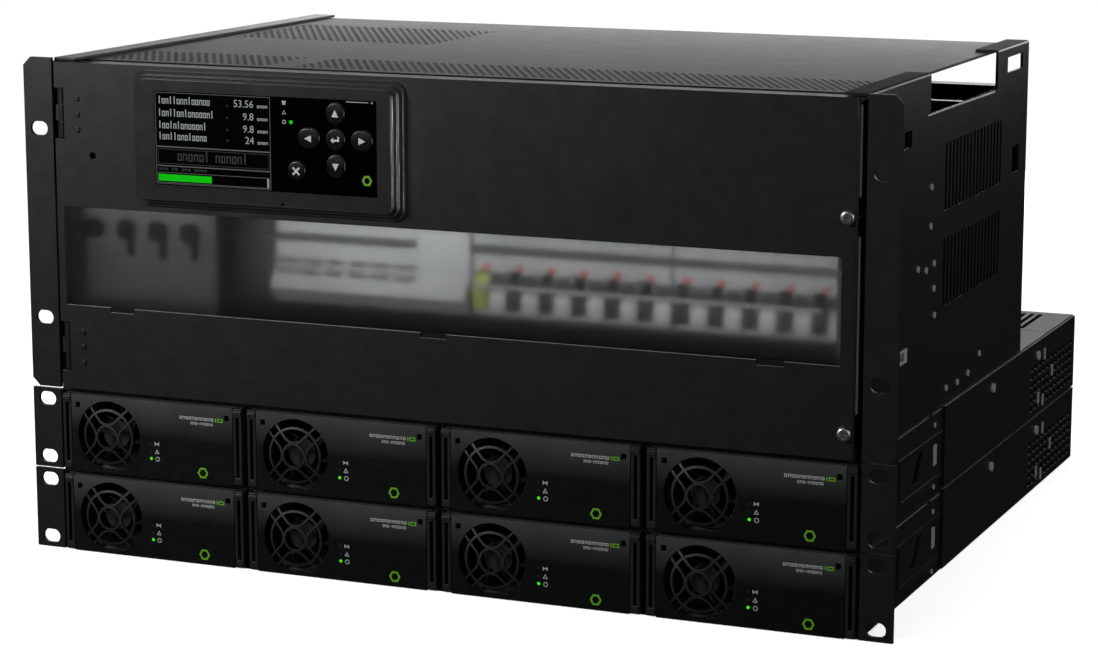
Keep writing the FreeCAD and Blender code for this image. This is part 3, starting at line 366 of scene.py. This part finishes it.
def frosted(name):
    """Clear plastic with a fine uneven frost."""
    tree = Tree(name)
    tree.drive("Base Color", tree.blend(tree.noise(30.0), (0.80, 0.82, 0.83), (0.92, 0.93, 0.94)))
    tree.drive("Roughness", tree.ramp(tree.noise(4.0, 2.0), 0.34, 0.38))
    tree.bump(tree.noise(0.8, 2.0), 0.2, 0.004)
    tree.set(Transmission_Weight=1.0, IOR=1.2, Specular_IOR_Level=0.15)
    return tree.material


def lit(name, colour, strength, body=(0.004, 0.004, 0.004), gloss=0.08):
    """A glowing mark or lens."""
    tree = Tree(name)
    glow = tree.blend(tree.ramp(tree.noise(3.0), 0.0, 1.0), scaled(colour, 0.9), colour)
    tree.drive("Emission Color", glow)
    tree.drive("Roughness", tree.ramp(tree.noise(2.0), 0.15, 0.25))
    tree.set(Base_Color=(*body, 1.0), Emission_Strength=strength, Specular_IOR_Level=gloss)
    return tree.material


MATERIALS = {
    "black": coated("black_powder_coat", (0.010, 0.010, 0.0105), 0.40, 1.1, 0.05, 0.1),
    # Painted shade: a darker, duller black for faces that should stand in shadow.
    "painted_shade": coated("shadowed_black", (0.008, 0.008, 0.008), 0.70, 1.1, 0.07,
                    Specular_IOR_Level=0.15),
    "grey": coated("grey_powder_coat", (0.075, 0.075, 0.077), 0.50, 1.1, 0.06, 0.1),
    # Painted highlight: a light grey for thin edges and strips that should catch the light.
    "edge": coated("painted_edge_highlight", (0.30, 0.30, 0.31), 0.45, 0.8, 0.03),
    # Pale non-metal coat for the plated fasteners: a painted glint in place of their reflection.
    "rivet": coated("rivet_plating_painted_glint", (0.75, 0.76, 0.77), 0.30, 0.8, 0.02),
    "steel": metal("galvanised_steel", (0.42, 0.43, 0.44), 0.42, (1.0, 0.15, 0.15)),
    "bright": metal("bright_steel", (0.70, 0.70, 0.71), 0.30, (1.0, 1.0, 0.2)),
    "copper": metal("copper", (0.72, 0.34, 0.19), 0.35, (0.1, 1.0, 1.0)),
    "window": frosted("frosted_polycarbonate"),
    "bezel": coated("bezel_plastic", (0.017, 0.017, 0.018), 0.30, 0.6, 0.01),
    # Painted highlight: a lighter grey for the bezel's rounded step edges.
    "bezel_highlight_faces": coated("bezel_painted_highlight", (0.11, 0.11, 0.112), 0.24, 0.6, 0.01),
    "glass": coated("display_glass", (0.001, 0.001, 0.0013), 0.16, 3.0, 0.004,
                    Specular_IOR_Level=0.05),
    "key_print": coated("key_print", (0.72, 0.73, 0.72), 0.50, 0.5, 0.005),
    "fascia": fascia("module_plastic"),
    "strip": coated("handle_plastic", (0.014, 0.015, 0.015), 0.42, 0.8, 0.03),
    "guard": coated("guard_plastic", (0.015, 0.016, 0.016), 0.45, 0.8, 0.03),
    # Dark fan plastic, also used as painted shade on the wall of each fan hole.
    "fan": coated("fan_plastic", (0.007, 0.007, 0.008), 0.50, 0.8, 0.03),
    "breaker": coated("breaker_plastic", (0.41, 0.42, 0.42), 0.45, 0.8, 0.02),
    # Black toggle plastic, also used as painted shade inside grooves and toggle slots.
    "toggle": coated("toggle_plastic", (0.015, 0.015, 0.017), 0.40, 0.8, 0.02),
    # Grey switch plastic, also used as painted shade in a recessed band of the load breakers.
    "switch": coated("switch_plastic", (0.075, 0.075, 0.077), 0.60, 0.8, 0.03),
    "knob": coated("knob_plastic", (0.004, 0.004, 0.004), 0.6, 0.8, 0.02, Specular_IOR_Level=0.1),
    "tie": coated("tie_bar_plastic", (0.30, 0.30, 0.30), 0.45, 0.8, 0.02),
    "board": coated("circuit_board", (0.02, 0.10, 0.04), 0.40, 0.8, 0.02),
    "red": coated("red_plastic", (0.55, 0.02, 0.015), 0.40, 0.8, 0.02),
    "label": coated("label_stock", (0.80, 0.80, 0.79), 0.55, 0.8, 0.01),
    "earth": coated("yellow_green_plastic", (0.45, 0.50, 0.12), 0.45, 0.8, 0.02),
    "sleeve": coated("dark_sleeve", (0.012, 0.014, 0.020), 0.40, 0.8, 0.02),
    "alloy": metal("heat_sink_alloy", (0.60, 0.61, 0.62), 0.38, (1.0, 0.1, 1.0)),
    "white_print": coated("white_print", (0.50, 0.51, 0.50), 0.50, 0.5, 0.005),
    "green_print": coated("green_print", (0.17, 0.50, 0.006), 0.50, 0.5, 0.005),
    "screen": lit("screen_back", (0.0006, 0.0008, 0.0008), 1.0, (0.0005, 0.0005, 0.0005), 0.04),
    "pixels": lit("screen_marks", (0.28, 0.30, 0.30), 1.0),
    "line_pixels": lit("screen_lines", (0.10, 0.11, 0.11), 1.0),
    "dim_pixels": lit("screen_dim_marks", (0.030, 0.035, 0.037), 1.0),
    "bar_pixels": lit("screen_bar", (0.004, 0.50, 0.004), 1.0),
    "panel_led": lit("panel_led", (0.003, 0.55, 0.003), 1.2),
    "green_led": lit("green_led", (0.06, 0.72, 0.01), 1.2),
    "dead_led": coated("dark_led", (0.02, 0.02, 0.02), 0.25, 0.8, 0.01),
}


def dress(node, material):
    """Gives a whole CAD node one material."""
    mesh = nodes[node].data
    mesh.materials.clear()
    mesh.materials.append(MATERIALS[material])
    mesh.polygons.foreach_set("material_index", np.zeros(len(mesh.polygons), np.int32))


def paint(node, material, test):
    """Gives the faces that pass a test another material. The test sees arrays in millimetres."""
    mesh = nodes[node].data
    count = len(mesh.polygons)
    centres = np.zeros(count * 3, np.float32)
    normals = np.zeros(count * 3, np.float32)
    index = np.zeros(count, np.int32)
    mesh.polygons.foreach_get("center", centres)
    mesh.polygons.foreach_get("normal", normals)
    mesh.polygons.foreach_get("material_index", index)
    centres = centres.reshape(-1, 3)
    x = centres[:, 0] / MM
    y = (centres[:, 1] - EAR_PLANE) / MM
    z = centres[:, 2] / MM
    chosen = test(x, y, z, normals.reshape(-1, 3))
    if MATERIALS[material].name not in mesh.materials:
        mesh.materials.append(MATERIALS[material])
    index[chosen] = mesh.materials.find(MATERIALS[material].name)
    mesh.polygons.foreach_set("material_index", index)


def within(value, low, high):
    return (value > low) & (value < high)


def dress_cabinet():
    for node in ("side_plate_left", "side_plate_right", "rack_ears", "distribution_floor",
                 "rear_panel", "shelf_lower", "shelf_upper", "shelf_rear_covers",
                 "door_panel", "door_hinge_leaves", "door_hinge_frames"):
        dress(node, "black")
    dress("top_cover", "grey")
    dress("din_rail", "steel")
    # The fasteners take the pale rivet coat, which carries a painted glint.
    dress("fasteners", "rivet")
    dress("busbars", "copper")
    dress("backplanes", "board")
    dress("door_window", "window")
    nodes["door_window"].visible_shadow = False
    nodes["door_window"].visible_diffuse = False
    dress("controller_housing", "bezel")
    dress("controller_face", "glass")
    for node in ("door_screw_upper", "door_screw_lower"):
        dress(node, "bright")
    for key in KEYS:
        MATERIALS["key_" + key] = key_cap("key_" + key)
        dress("key_" + key, "key_" + key)
        paint("key_" + key, "key_print", lambda x, y, z, n: y < KEY_SYMBOL_FACE)
    paint("controller_housing", "board", lambda x, y, z, n: within(y, 1.9, 3.7)
          & within(x, -156, -29) & within(z, 204, 252.5))
    pin = lambda x, y, z, n: np.hypot(x + 218.0, y - 0.5) < 1.02
    paint("door_hinge_frames", "bright", pin)
    # Painted shade: the door's top return takes the darker, duller black.
    paint("door_panel", "painted_shade", lambda x, y, z, n: (y > -0.4) & (n[:, 2] > 0.9))
    # Painted shade: the top cover's faces below its top sheet, and its faces that look to the front
    # or back, take the darker, duller black.
    paint("top_cover", "painted_shade", lambda x, y, z, n: (z < 263.2) | (np.abs(n[:, 1]) > 0.9))
    # Painted highlight: the window's sill takes the light grey edge material.
    sill = lambda x, y, z, n: (n[:, 2] > 0.9) & within(z, 130.0, 136.0)
    paint("door_panel", "edge", sill)
    paint("busbars", "breaker", lambda x, y, z, n: (y > 256.01) & within(z, 95, 150))
    paint("busbars", "sleeve", lambda x, y, z, n: z > 200)
    # Painted shade: the top face of the right-hand side plate takes the darker, duller black.
    paint("side_plate_right", "painted_shade", lambda x, y, z, n: (n[:, 2] > 0.9) & (z > TOP - 0.3))
    # Painted highlight: the thin upper edges of the shelf sleeves take the light grey edge
    # material.
    thin_edge = lambda x, y, z, n: (n[:, 2] > 0.9) & (np.abs(x) > SIDE_FACE)
    paint("shelf_rear_covers", "edge", thin_edge)
    paint("backplanes", "breaker", lambda x, y, z, n: y > 391.9)
    paint("backplanes", "fan", lambda x, y, z, n: y < 329.99)


def dress_breakers():
    # Painted shade: the terminal groove across each breaker's nose takes the black toggle plastic.
    groove = lambda x, y, z, n: within(y, 30.05, 33.1) & within(z, 172.3, 177.1)
    for node in ("load_breakers", "input_breakers"):
        dress(node, "breaker")
        paint(node, "toggle", groove)
    # Painted shade: the load breakers' toggle slots take the black toggle plastic.
    paint("load_breakers", "toggle", lambda x, y, z, n: within(y, 30.05, 43.1)
          & within(z, 151.5, 164.3) & (np.abs(n[:, 0]) < 0.9))
    # Painted shade: the recessed band below the red flags takes the grey switch plastic.
    paint("load_breakers", "switch", lambda x, y, z, n: within(y, 30.05, 32.5)
          & within(z, 156.3, 163.1))
    paint("load_breakers", "red", lambda x, y, z, n: (y < 29.95) & within(z, 164.5, 167.3))
    paint("load_breakers", "label", lambda x, y, z, n: (y < 29.95) & within(z, 143.5, 152.7))
    # Painted shade: the input breakers' toggle slots take the black toggle plastic.
    paint("input_breakers", "toggle", lambda x, y, z, n: within(y, 30.1, 38.1)
          & within(z, 154.9, 163.5) & (np.abs(n[:, 0]) < 0.9))
    dress("load_breaker_toggles", "toggle")
    dress("input_breaker_toggles", "tie")
    paint("load_breaker_toggles", "earth", lambda x, y, z, n: x < 14.7)
    paint("load_breaker_toggles", "tie", lambda x, y, z, n: (y < 24.95) & within(z, 155.5, 157.9))
    dress("battery_switches", "switch")
    paint("battery_switches", "black", lambda x, y, z, n: y > 45.9)


def module_place(number):
    """The left and bottom of a module, numbered from the upper shelf's left-hand end."""
    slot = (number - 1) % 4
    return MODULE_LEFT + slot * MODULE_PITCH, (U if number <= 4 else 0.0)


def dress_module(number):
    left, bottom = module_place(number)
    node = "rectifier_" + str(number)
    dress(node, "steel")
    dress("fan_rotor_" + str(number), "fan")
    dress("module_handles_" + str(number), "strip")
    fan_x = left + 28.3
    fan_z = bottom + 20.6
    round_fan = lambda x, z: np.hypot(x - fan_x, z - fan_z)
    paint(node, "fascia", lambda x, y, z, n: y < 1.55)
    paint(node, "guard", lambda x, y, z, n: (y < 3.0) & (round_fan(x, z) < 19.3)
          & ~((round_fan(x, z) > 19.1) & within(y, -1.6, 1.55)
              & (np.abs(n[:, 1]) < 0.05)))
    paint(node, "fan", lambda x, y, z, n: (np.abs(y - 2.0) < 0.05) & (n[:, 1] < -0.9))
    # Painted shade: the wall of the fan hole takes the dark fan plastic.
    paint(node, "fan", lambda x, y, z, n: (round_fan(x, z) > 19.1) & (round_fan(x, z) < 19.3)
          & within(y, -1.6, 1.55) & (np.abs(n[:, 1]) < 0.05))
    for material, (x0, x1), (y0, y1), (z0, z1) in MODULE_SOLIDS:
        paint(node, material, lambda x, y, z, n: within(x, left + x0, left + x1)
              & within(y, y0, y1) & within(z, bottom + z0, bottom + z1))
    paint(node, "breaker", lambda x, y, z, n: y > 322.1)
    for led, kind in ((11.0, "green_led"), (14.9, "dead_led"), (19.1, "dead_led")):
        spot = lambda x, y, z, n: (np.hypot(x - left - 54.0, z - bottom - led) < 0.82) & (y < 2.6)
        paint(node, kind, spot)


# ---------------------------------------------------------------- edges of the CAD sheet metal


def angle_shading():
    """A modifier group that keeps edges sharp above 35 degrees and smooth below."""
    group = bpy.data.node_groups.new("shade_by_angle", "GeometryNodeTree")
    group.interface.new_socket("Geometry", in_out="INPUT", socket_type="NodeSocketGeometry")
    group.interface.new_socket("Geometry", in_out="OUTPUT", socket_type="NodeSocketGeometry")
    start = group.nodes.new("NodeGroupInput")
    end = group.nodes.new("NodeGroupOutput")
    angle = group.nodes.new("GeometryNodeInputMeshEdgeAngle")
    small = group.nodes.new("FunctionNodeCompare")
    small.data_type = "FLOAT"
    small.operation = "LESS_EQUAL"
    small.inputs["B"].default_value = SHARP_ABOVE
    faces = group.nodes.new("GeometryNodeSetShadeSmooth")
    faces.domain = "FACE"
    edges = group.nodes.new("GeometryNodeSetShadeSmooth")
    edges.domain = "EDGE"
    group.links.new(start.outputs[0], faces.inputs["Geometry"])
    group.links.new(faces.outputs[0], edges.inputs["Geometry"])
    group.links.new(angle.outputs["Unsigned Angle"], small.inputs["A"])
    group.links.new(small.outputs["Result"], edges.inputs["Shade Smooth"])
    group.links.new(edges.outputs[0], end.inputs[0])
    return group


SHADING = angle_shading()


def soften(node, width):
    """Rounds a CAD node's sharp edges by a modifier, which leaves its vertices as they are."""
    piece = nodes[node]
    attribute = piece.data.attributes.get("custom_normal")
    if attribute:
        piece.data.attributes.remove(attribute)
    weld = piece.modifiers.new("weld", "WELD")
    weld.merge_threshold = 0.002 * MM
    planar = piece.modifiers.new("merge_flat_faces", "DECIMATE")
    planar.decimate_type = "DISSOLVE"
    planar.angle_limit = math.radians(0.5)
    shading = piece.modifiers.new("shading", "NODES")
    shading.node_group = SHADING
    bevel = piece.modifiers.new("edges", "BEVEL")
    bevel.width = width * MM
    bevel.segments = 2
    bevel.limit_method = "ANGLE"
    bevel.angle_limit = BEVEL_ABOVE
    bevel.harden_normals = True


def edge_ends(mesh):
    """The two ends of every edge, in millimetres."""
    ends = np.zeros(len(mesh.edges) * 2, np.int32)
    points = np.zeros(len(mesh.vertices) * 3, np.float32)
    mesh.edges.foreach_get("vertices", ends)
    mesh.vertices.foreach_get("co", points)
    points = (points.reshape(-1, 3) - np.array((0.0, EAR_PLANE, 0.0))) / MM
    return points[ends[0::2]], points[ends[1::2]]


def fold(node, width, test):
    """Gives chosen edges the larger radius of a bent sheet or a moulding."""
    piece = nodes[node]
    first, second = edge_ends(piece.data)
    weights = piece.data.attributes.new("bevel_weight_edge", "FLOAT", "EDGE")
    weights.data.foreach_set("value", test(first, second).astype(np.float32))
    bevel = piece.modifiers.new("fold", "BEVEL")
    bevel.width = width * MM
    bevel.segments = 4
    bevel.limit_method = "WEIGHT"
    bevel.harden_normals = True
    piece.modifiers.move(len(piece.modifiers) - 1, 3)
    return bevel


def both(first, second, column, value):
    """Edges that lie on one coordinate plane: column 0, 1 or 2 of both ends has the value."""
    slack = 0.06
    return (np.abs(first[:, column] - value) < slack) & (np.abs(second[:, column] - value) < slack)


def fold_edges():
    notch_bottom = 245.3
    fold("side_plate_right", 1.3, lambda a, b: both(a, b, 0, SIDE_FACE)
         & (both(a, b, 2, TOP) | both(a, b, 2, notch_bottom)))
    fold("door_panel", 1.2, lambda a, b: both(a, b, 0, DOOR_EDGE) & both(a, b, 1, -2.0))
    inside = lambda p: within(p[:, 0], -157, -28) & within(p[:, 2], 203.4, 253)
    pinhole = lambda p: np.hypot(p[:, 0] + 82.6, p[:, 2] - 197.4) < 1.5
    on_step = lambda a, b: np.any([both(a, b, 1, step) for step in BEZEL_STEPS], axis=0)
    bezel = fold("controller_housing", 1.2,
                 lambda a, b: ~inside(a) & ~pinhole(a) & on_step(a, b))
    # The bezel's rounded step edges take a lighter material: a painted highlight.
    nodes["controller_housing"].data.materials.append(MATERIALS["bezel_highlight_faces"])
    bezel.material = len(nodes["controller_housing"].data.materials) - 1


def soften_edges():
    for node, width in (("rack_ears", 0.35), ("door_panel", 0.2), ("side_plate_right", 0.3),
                        ("side_plate_left", 0.3), ("shelf_upper", 0.3), ("shelf_lower", 0.3),
                        ("load_breakers", 0.4), ("input_breakers", 0.4),
                        ("load_breaker_toggles", 0.4), ("input_breaker_toggles", 0.4),
                        ("controller_housing", 0.25), ("shelf_rear_covers", 0.25)):
        soften(node, width)
    for number in range(1, MODULES + 1):
        soften("module_handles_" + str(number), 0.3)


# ---------------------------------------------------------------- printed and lit marks, and marks of painted highlight and shade


class Marks:
    """Thin closed solids on a flat face. Outlines are (across, up) pairs in millimetres."""

    def __init__(self, name, material, body, slot, to_place):
        self.name, self.material, self.body, self.slot = name, material, body, slot
        self.to_place = to_place
        self.points = []
        self.faces = []

    def solid(self, outline):
        count = len(outline)
        start = len(self.points)
        for depth in (0.0, 1.0):
            for across, up in outline:
                self.points.append(self.to_place(across, up, depth))
        self.faces.append([start + count + i for i in range(count)])
        self.faces.append([start + i for i in reversed(range(count))])
        for i in range(count):
            j = (i + 1) % count
            self.faces.append([start + i, start + j, start + count + j, start + count + i])

    def band(self, outer, inner):
        """A closed ring between two outlines with the same number of points."""
        count = len(outer)
        start = len(self.points)
        for outline, depth in ((outer, 0.0), (outer, 1.0), (inner, 1.0), (inner, 0.0)):
            for across, up in outline:
                self.points.append(self.to_place(across, up, depth))
        for ring in range(4):
            first = start + ring * count
            second = start + (ring + 1) % 4 * count
            for i in range(count):
                j = (i + 1) % count
                self.faces.append([first + i, first + j, second + j, second + i])

    def box(self, x0, x1, z0, z1):
        self.solid([(x0, z0), (x1, z0), (x1, z1), (x0, z1)])

    def frame(self, x0, x1, z0, z1, width):
        outer = [(x0, z0), (x1, z0), (x1, z1), (x0, z1)]
        w = width
        self.band(outer, [(x0 + w, z0 + w), (x1 - w, z0 + w), (x1 - w, z1 - w), (x0 + w, z1 - w)])

    def ring(self, x, z, outer, inner, count=24):
        self.band(circle(x, z, outer, count), circle(x, z, inner, count))

    def words(self, x0, z, height, pattern, pitch):
        """A row of letter-like shapes: | a bar, o a ring, n an arch, - a dash, a space a gap."""
        low = height * 0.7
        wide = 0.78 * pitch
        pen = 0.22 * pitch
        for i, shape in enumerate(pattern):
            x = x0 + i * pitch
            if shape == "|":
                self.box(x + pen, x + 2.2 * pen, z, z + height)
            elif shape == "o":
                self.frame(x, x + wide, z, z + low, pen)
            elif shape == "n":
                foot = x + wide - pen
                lintel = z + low - pen
                self.solid([(x, z), (x + pen, z), (x + pen, lintel), (foot, lintel),
                            (foot, z), (x + wide, z), (x + wide, z + low), (x, z + low)])
            elif shape == "-":
                self.box(x, x + wide, z + low / 2 - pen / 2, z + low / 2 + pen / 2)

    def build(self):
        mesh = bpy.data.meshes.new(self.name)
        mesh.from_pydata([tuple(p) for p in self.points], [], self.faces)
        cleaner = bmesh.new()
        cleaner.from_mesh(mesh)
        bmesh.ops.recalc_face_normals(cleaner, faces=cleaner.faces)
        cleaner.to_mesh(mesh)
        cleaner.free()
        mesh.materials.append(MATERIALS[self.material])
        piece = bpy.data.objects.new(self.name, mesh)
        scene.collection.objects.link(piece)
        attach(piece, self.body)
        return piece


def circle(x, z, radius, count=24):
    """The corners of a regular outline that stands for a circle."""
    step = 2 * math.pi / count
    return [(x + radius * math.cos(i * step), z + radius * math.sin(i * step))
            for i in range(count)]


def hexagon(x, z, radius):
    return circle(x, z, radius, 6)


def front_face(y, thickness=PRINT):
    """Outlines drawn on a face that looks to the front."""
    return lambda x, z, depth: place(x, y - thickness * depth, z)


def side_face(x, thickness=PRINT):
    """Outlines drawn on a face that looks to the right."""
    return lambda y, z, depth: place(x + thickness * depth, y, z)


def digits(marks, text, right, z, height):
    """Adds a number in plain digits, right-aligned, to a set of marks."""
    digit_share = 0.70
    curve = bpy.data.curves.new("digits", "FONT")
    curve.body = text
    curve.size = height / digit_share
    curve.extrude = 0.5
    curve.align_x = "RIGHT"
    curve.resolution_u = 2
    helper = bpy.data.objects.new("digits", curve)
    scene.collection.objects.link(helper)
    bpy.context.view_layer.update()
    mesh = bpy.data.meshes.new_from_object(helper.evaluated_get(
        bpy.context.evaluated_depsgraph_get()))
    start = len(marks.points)
    for vertex in mesh.vertices:
        marks.points.append(marks.to_place(right + vertex.co.x, z + vertex.co.y, vertex.co.z + 0.5))
    for polygon in mesh.polygons:
        marks.faces.append([start + i for i in polygon.vertices])
    bpy.data.objects.remove(helper)
    bpy.data.meshes.remove(mesh)


def display_marks():
    glass = front_face(GLASS_FRONT)
    upper = front_face(GLASS_FRONT - PRINT)
    screen = Marks("display_screen", "screen", "door", "display_glass", glass)
    screen.box(-156.2, -89.2, 204.6, 252.0)
    screen.build()
    marks = Marks("display_marks", "pixels", "door", "display_glass", upper)
    rows = ((246.2, "|on||onn|oonoo", "53.56"), (239.7, "|on||on|onooon|", "9.8"),
            (233.4, "|oo|n|onooon|", "9.8"), (227.6, "|on||ono|oono", "24"))
    for z, pattern, number in rows:
        marks.words(-154.4, z, 3.9, pattern, 2.2)
        digits(marks, number, -98.6, z, 3.7)
        marks.words(-96.6, z, 1.9, "onon", 1.55)
    marks.box(-91.4, -90.5, 205.4, 210.2)
    marks.build()
    lines = Marks("display_lines", "line_pixels", "door", "display_glass", upper)
    lines.frame(-156.2, -89.2, 204.6, 252.0, 0.25)
    lines.box(-155.6, -89.8, 223.6, 224.2)
    lines.box(-155.6, -89.8, 213.7, 214.2)
    lines.frame(-155.4, -90.2, 205.2, 210.6, 0.25)
    lines.build()
    dim = Marks("display_dim_marks", "dim_pixels", "door", "display_glass", upper)
    dim.frame(-155.2, -90.0, 215.0, 222.8, 0.3)
    dim.words(-143.6, 216.9, 5.4, "onono| nonon|", 3.2)
    dim.words(-154.6, 211.7, 1.7, "ono no ono onoo", 1.9)
    for z in (246.7, 240.5, 234.3, 228.8):
        dim.ring(-114.0, z, 0.6, 0.2, 8)
    dim.build()
    bar = Marks("display_bar", "bar_pixels", "door", "display_glass", upper)
    bar.box(-154.9, -123.7, 206.1, 209.6)
    bar.build()
    icons = Marks("panel_icons", "white_print", "door", "display_glass", glass)
    icons.box(-82.1, -80.3, 248.6, 249.0)
    icons.solid([(-82.5, 250.6), (-79.9, 250.6), (-80.5, 249.0), (-81.9, 249.0)])
    icons.band([(-82.4, 243.8), (-80.0, 243.8), (-81.2, 246.1)],
               [(-81.9, 244.1), (-80.5, 244.1), (-81.2, 245.4)])
    icons.ring(-81.2, 239.8, 1.1, 0.7)
    icons.box(-46.0, -33.5, 251.4, 251.8)
    icons.solid(circle(-31.5, 251.6, 0.5, 12))
    icons.build()
    led = Marks("panel_led", "panel_led", "door", "display_glass", glass)
    led.solid(circle(-77.3, 239.9, 1.0, 16))
    led.build()
    badge = Marks("panel_badge", "green_print", "door", "display_glass", glass)
    badge.band(hexagon(-34.7, 212.2, 2.9), hexagon(-34.7, 212.2, 1.7))
    badge.build()


def module_marks(number):
    left, bottom = module_place(number)
    body = "rectifier_" + str(number)
    face = front_face(FASCIA_FRONT)
    local = lambda x, z, depth: face(left + x, bottom + z, depth)
    white = Marks("module_print_" + str(number), "white_print", body, "module_plastic", local)
    white.solid([(56.2, 20.2), (57.5, 19.3), (57.5, 18.9), (56.2, 18.0)])
    white.solid([(58.9, 20.2), (58.9, 18.0), (57.6, 18.9), (57.6, 19.3)])
    white.band([(56.2, 13.8), (59.0, 13.8), (57.6, 16.4)],
               [(56.9, 14.2), (58.3, 14.2), (57.6, 15.5)])
    white.ring(57.8, 10.9, 1.3, 0.85)
    white.words(71.6, 34.2, 2.3, "onoononnono", 1.9)
    white.words(78.4, 31.7, 2.0, "ono-nnoono", 1.35)
    white.build()
    green = Marks("module_badge_" + str(number), "green_print", body, "module_plastic", local)
    green.box(93.0, 93.6, 34.0, 36.0)
    green.frame(94.2, 97.6, 34.0, 36.0, 0.55)
    green.band(hexagon(85.1, 5.9, 3.2), hexagon(85.1, 5.9, 2.1))
    green.build()


def battery_grip(number):
    """A thin knob on its shaft. All but the first have a lever that hangs down on the right."""
    node = "battery_knob_" + str(number)
    low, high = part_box(node)
    x = (low.x + high.x) / 2 / MM
    z = high.z / MM - 6.3
    grip = Marks("battery_grip_" + str(number), "knob", node, "toggle_plastic",
                 front_face(20.8, 3.0))
    grip.solid(circle(x, z, 5.7, 32))
    if number > 1:
        grip.to_place = front_face(20.2, 2.8)
        grip.solid([(x + 1.4, z - 13.6), (x + 2.0, z - 14.4), (x + 4.4, z - 14.4),
                    (x + 5.0, z - 13.6), (x + 5.0, z + 1.0), (x + 1.4, z + 1.0)])
    grip.to_place = front_face(26.0, 6.0)
    grip.solid(circle(x, z, 2.0))
    piece = grip.build()
    piece.visible_shadow = False
    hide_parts(node)
    edges = piece.modifiers.new("edges", "BEVEL")
    edges.width = 0.5 * MM
    edges.segments = 2
    edges.limit_method = "ANGLE"
    edges.angle_limit = BEVEL_ABOVE


def side_rivets():
    """Small flush rivets at the front ends of the shelf sides."""
    # The rivets take the pale rivet coat, which carries a painted glint.
    rivets = Marks("side_rivets", "rivet", "cabinet", "bright_steel", side_face(SIDE_FACE, 0.5))
    for z in (81.5, 48.5, 35.3, 3.0):
        rivets.solid(circle(127.0, z, 1.4, 16))
    rivets.build()


def edge_strips():
    """Light strips along the upper edges of the shelf sides, slightly proud of the cabinet side:
    painted highlights where those edges catch the light.
    """
    strips = Marks("shelf_edge_highlights", "edge", "cabinet", "black_powder_coat",
                   side_face(SIDE_FACE, 0.5))
    for z in (88.2, 42.6):
        strips.box(56.0, 114.0, z - 0.5, z)
        strips.box(121.0, 138.0, z - 0.5, z)
    strips.build()


def window_notch_shade():
    """Dark blocks in the notches of the window's sill: painted shade where the notches lie in
    shadow.
    """
    notch_blocks = Marks("window_notch_shade", "painted_shade", "door", "black_powder_coat", front_face(-0.5, 0.9))
    for x in (-183.2, -2.0, 177.4):
        notch_blocks.box(x - 6.8, x + 6.8, 133.0, 135.6)
    notch_blocks.build()


def door_edge_highlight():
    """A pale strip along the door's right-hand edge: a painted highlight where the door's bent edge
    catches the light.
    """
    strip = Marks("door_edge_highlight", "edge", "door", "black_powder_coat", side_face(DOOR_EDGE, 0.3))
    for low, high in ((112.0, 198.0), (217.0, 261.0)):
        strip.box(-0.6, 2.6, low, high)
    strip.build()


def side_label():
    """A small pale sticker with bars, low on the right-hand side near the front."""
    plate = Marks("side_label", "label", "cabinet", "black_powder_coat", side_face(SIDE_FACE))
    plate.box(55.5, 73.0, 124.6, 132.0)
    plate.build()
    bars = Marks("side_label_bars", "toggle", "cabinet", "black_powder_coat",
                 side_face(SIDE_FACE + PRINT))
    y = 58.0
    for width, gap in ((1.6, 0.8), (0.6, 0.8), (1.0, 0.6), (0.5, 0.9), (1.4, 0.7), (0.6, 0.5)):
        bars.box(y, y + width, 126.4, 130.6)
        y += width + gap
    bars.build()


add_camera()
add_world()
add_floor_lights(add_floor())
add_lights()
dress_cabinet()
dress_breakers()
for module in range(1, MODULES + 1):
    dress_module(module)
    module_marks(module)
soften_edges()
fold_edges()
display_marks()
door_edge_highlight()
window_notch_shade()
side_label()
side_rivets()
edge_strips()
for switch in range(1, 5):
    battery_grip(switch)
scene.view_settings.view_transform = "Standard"
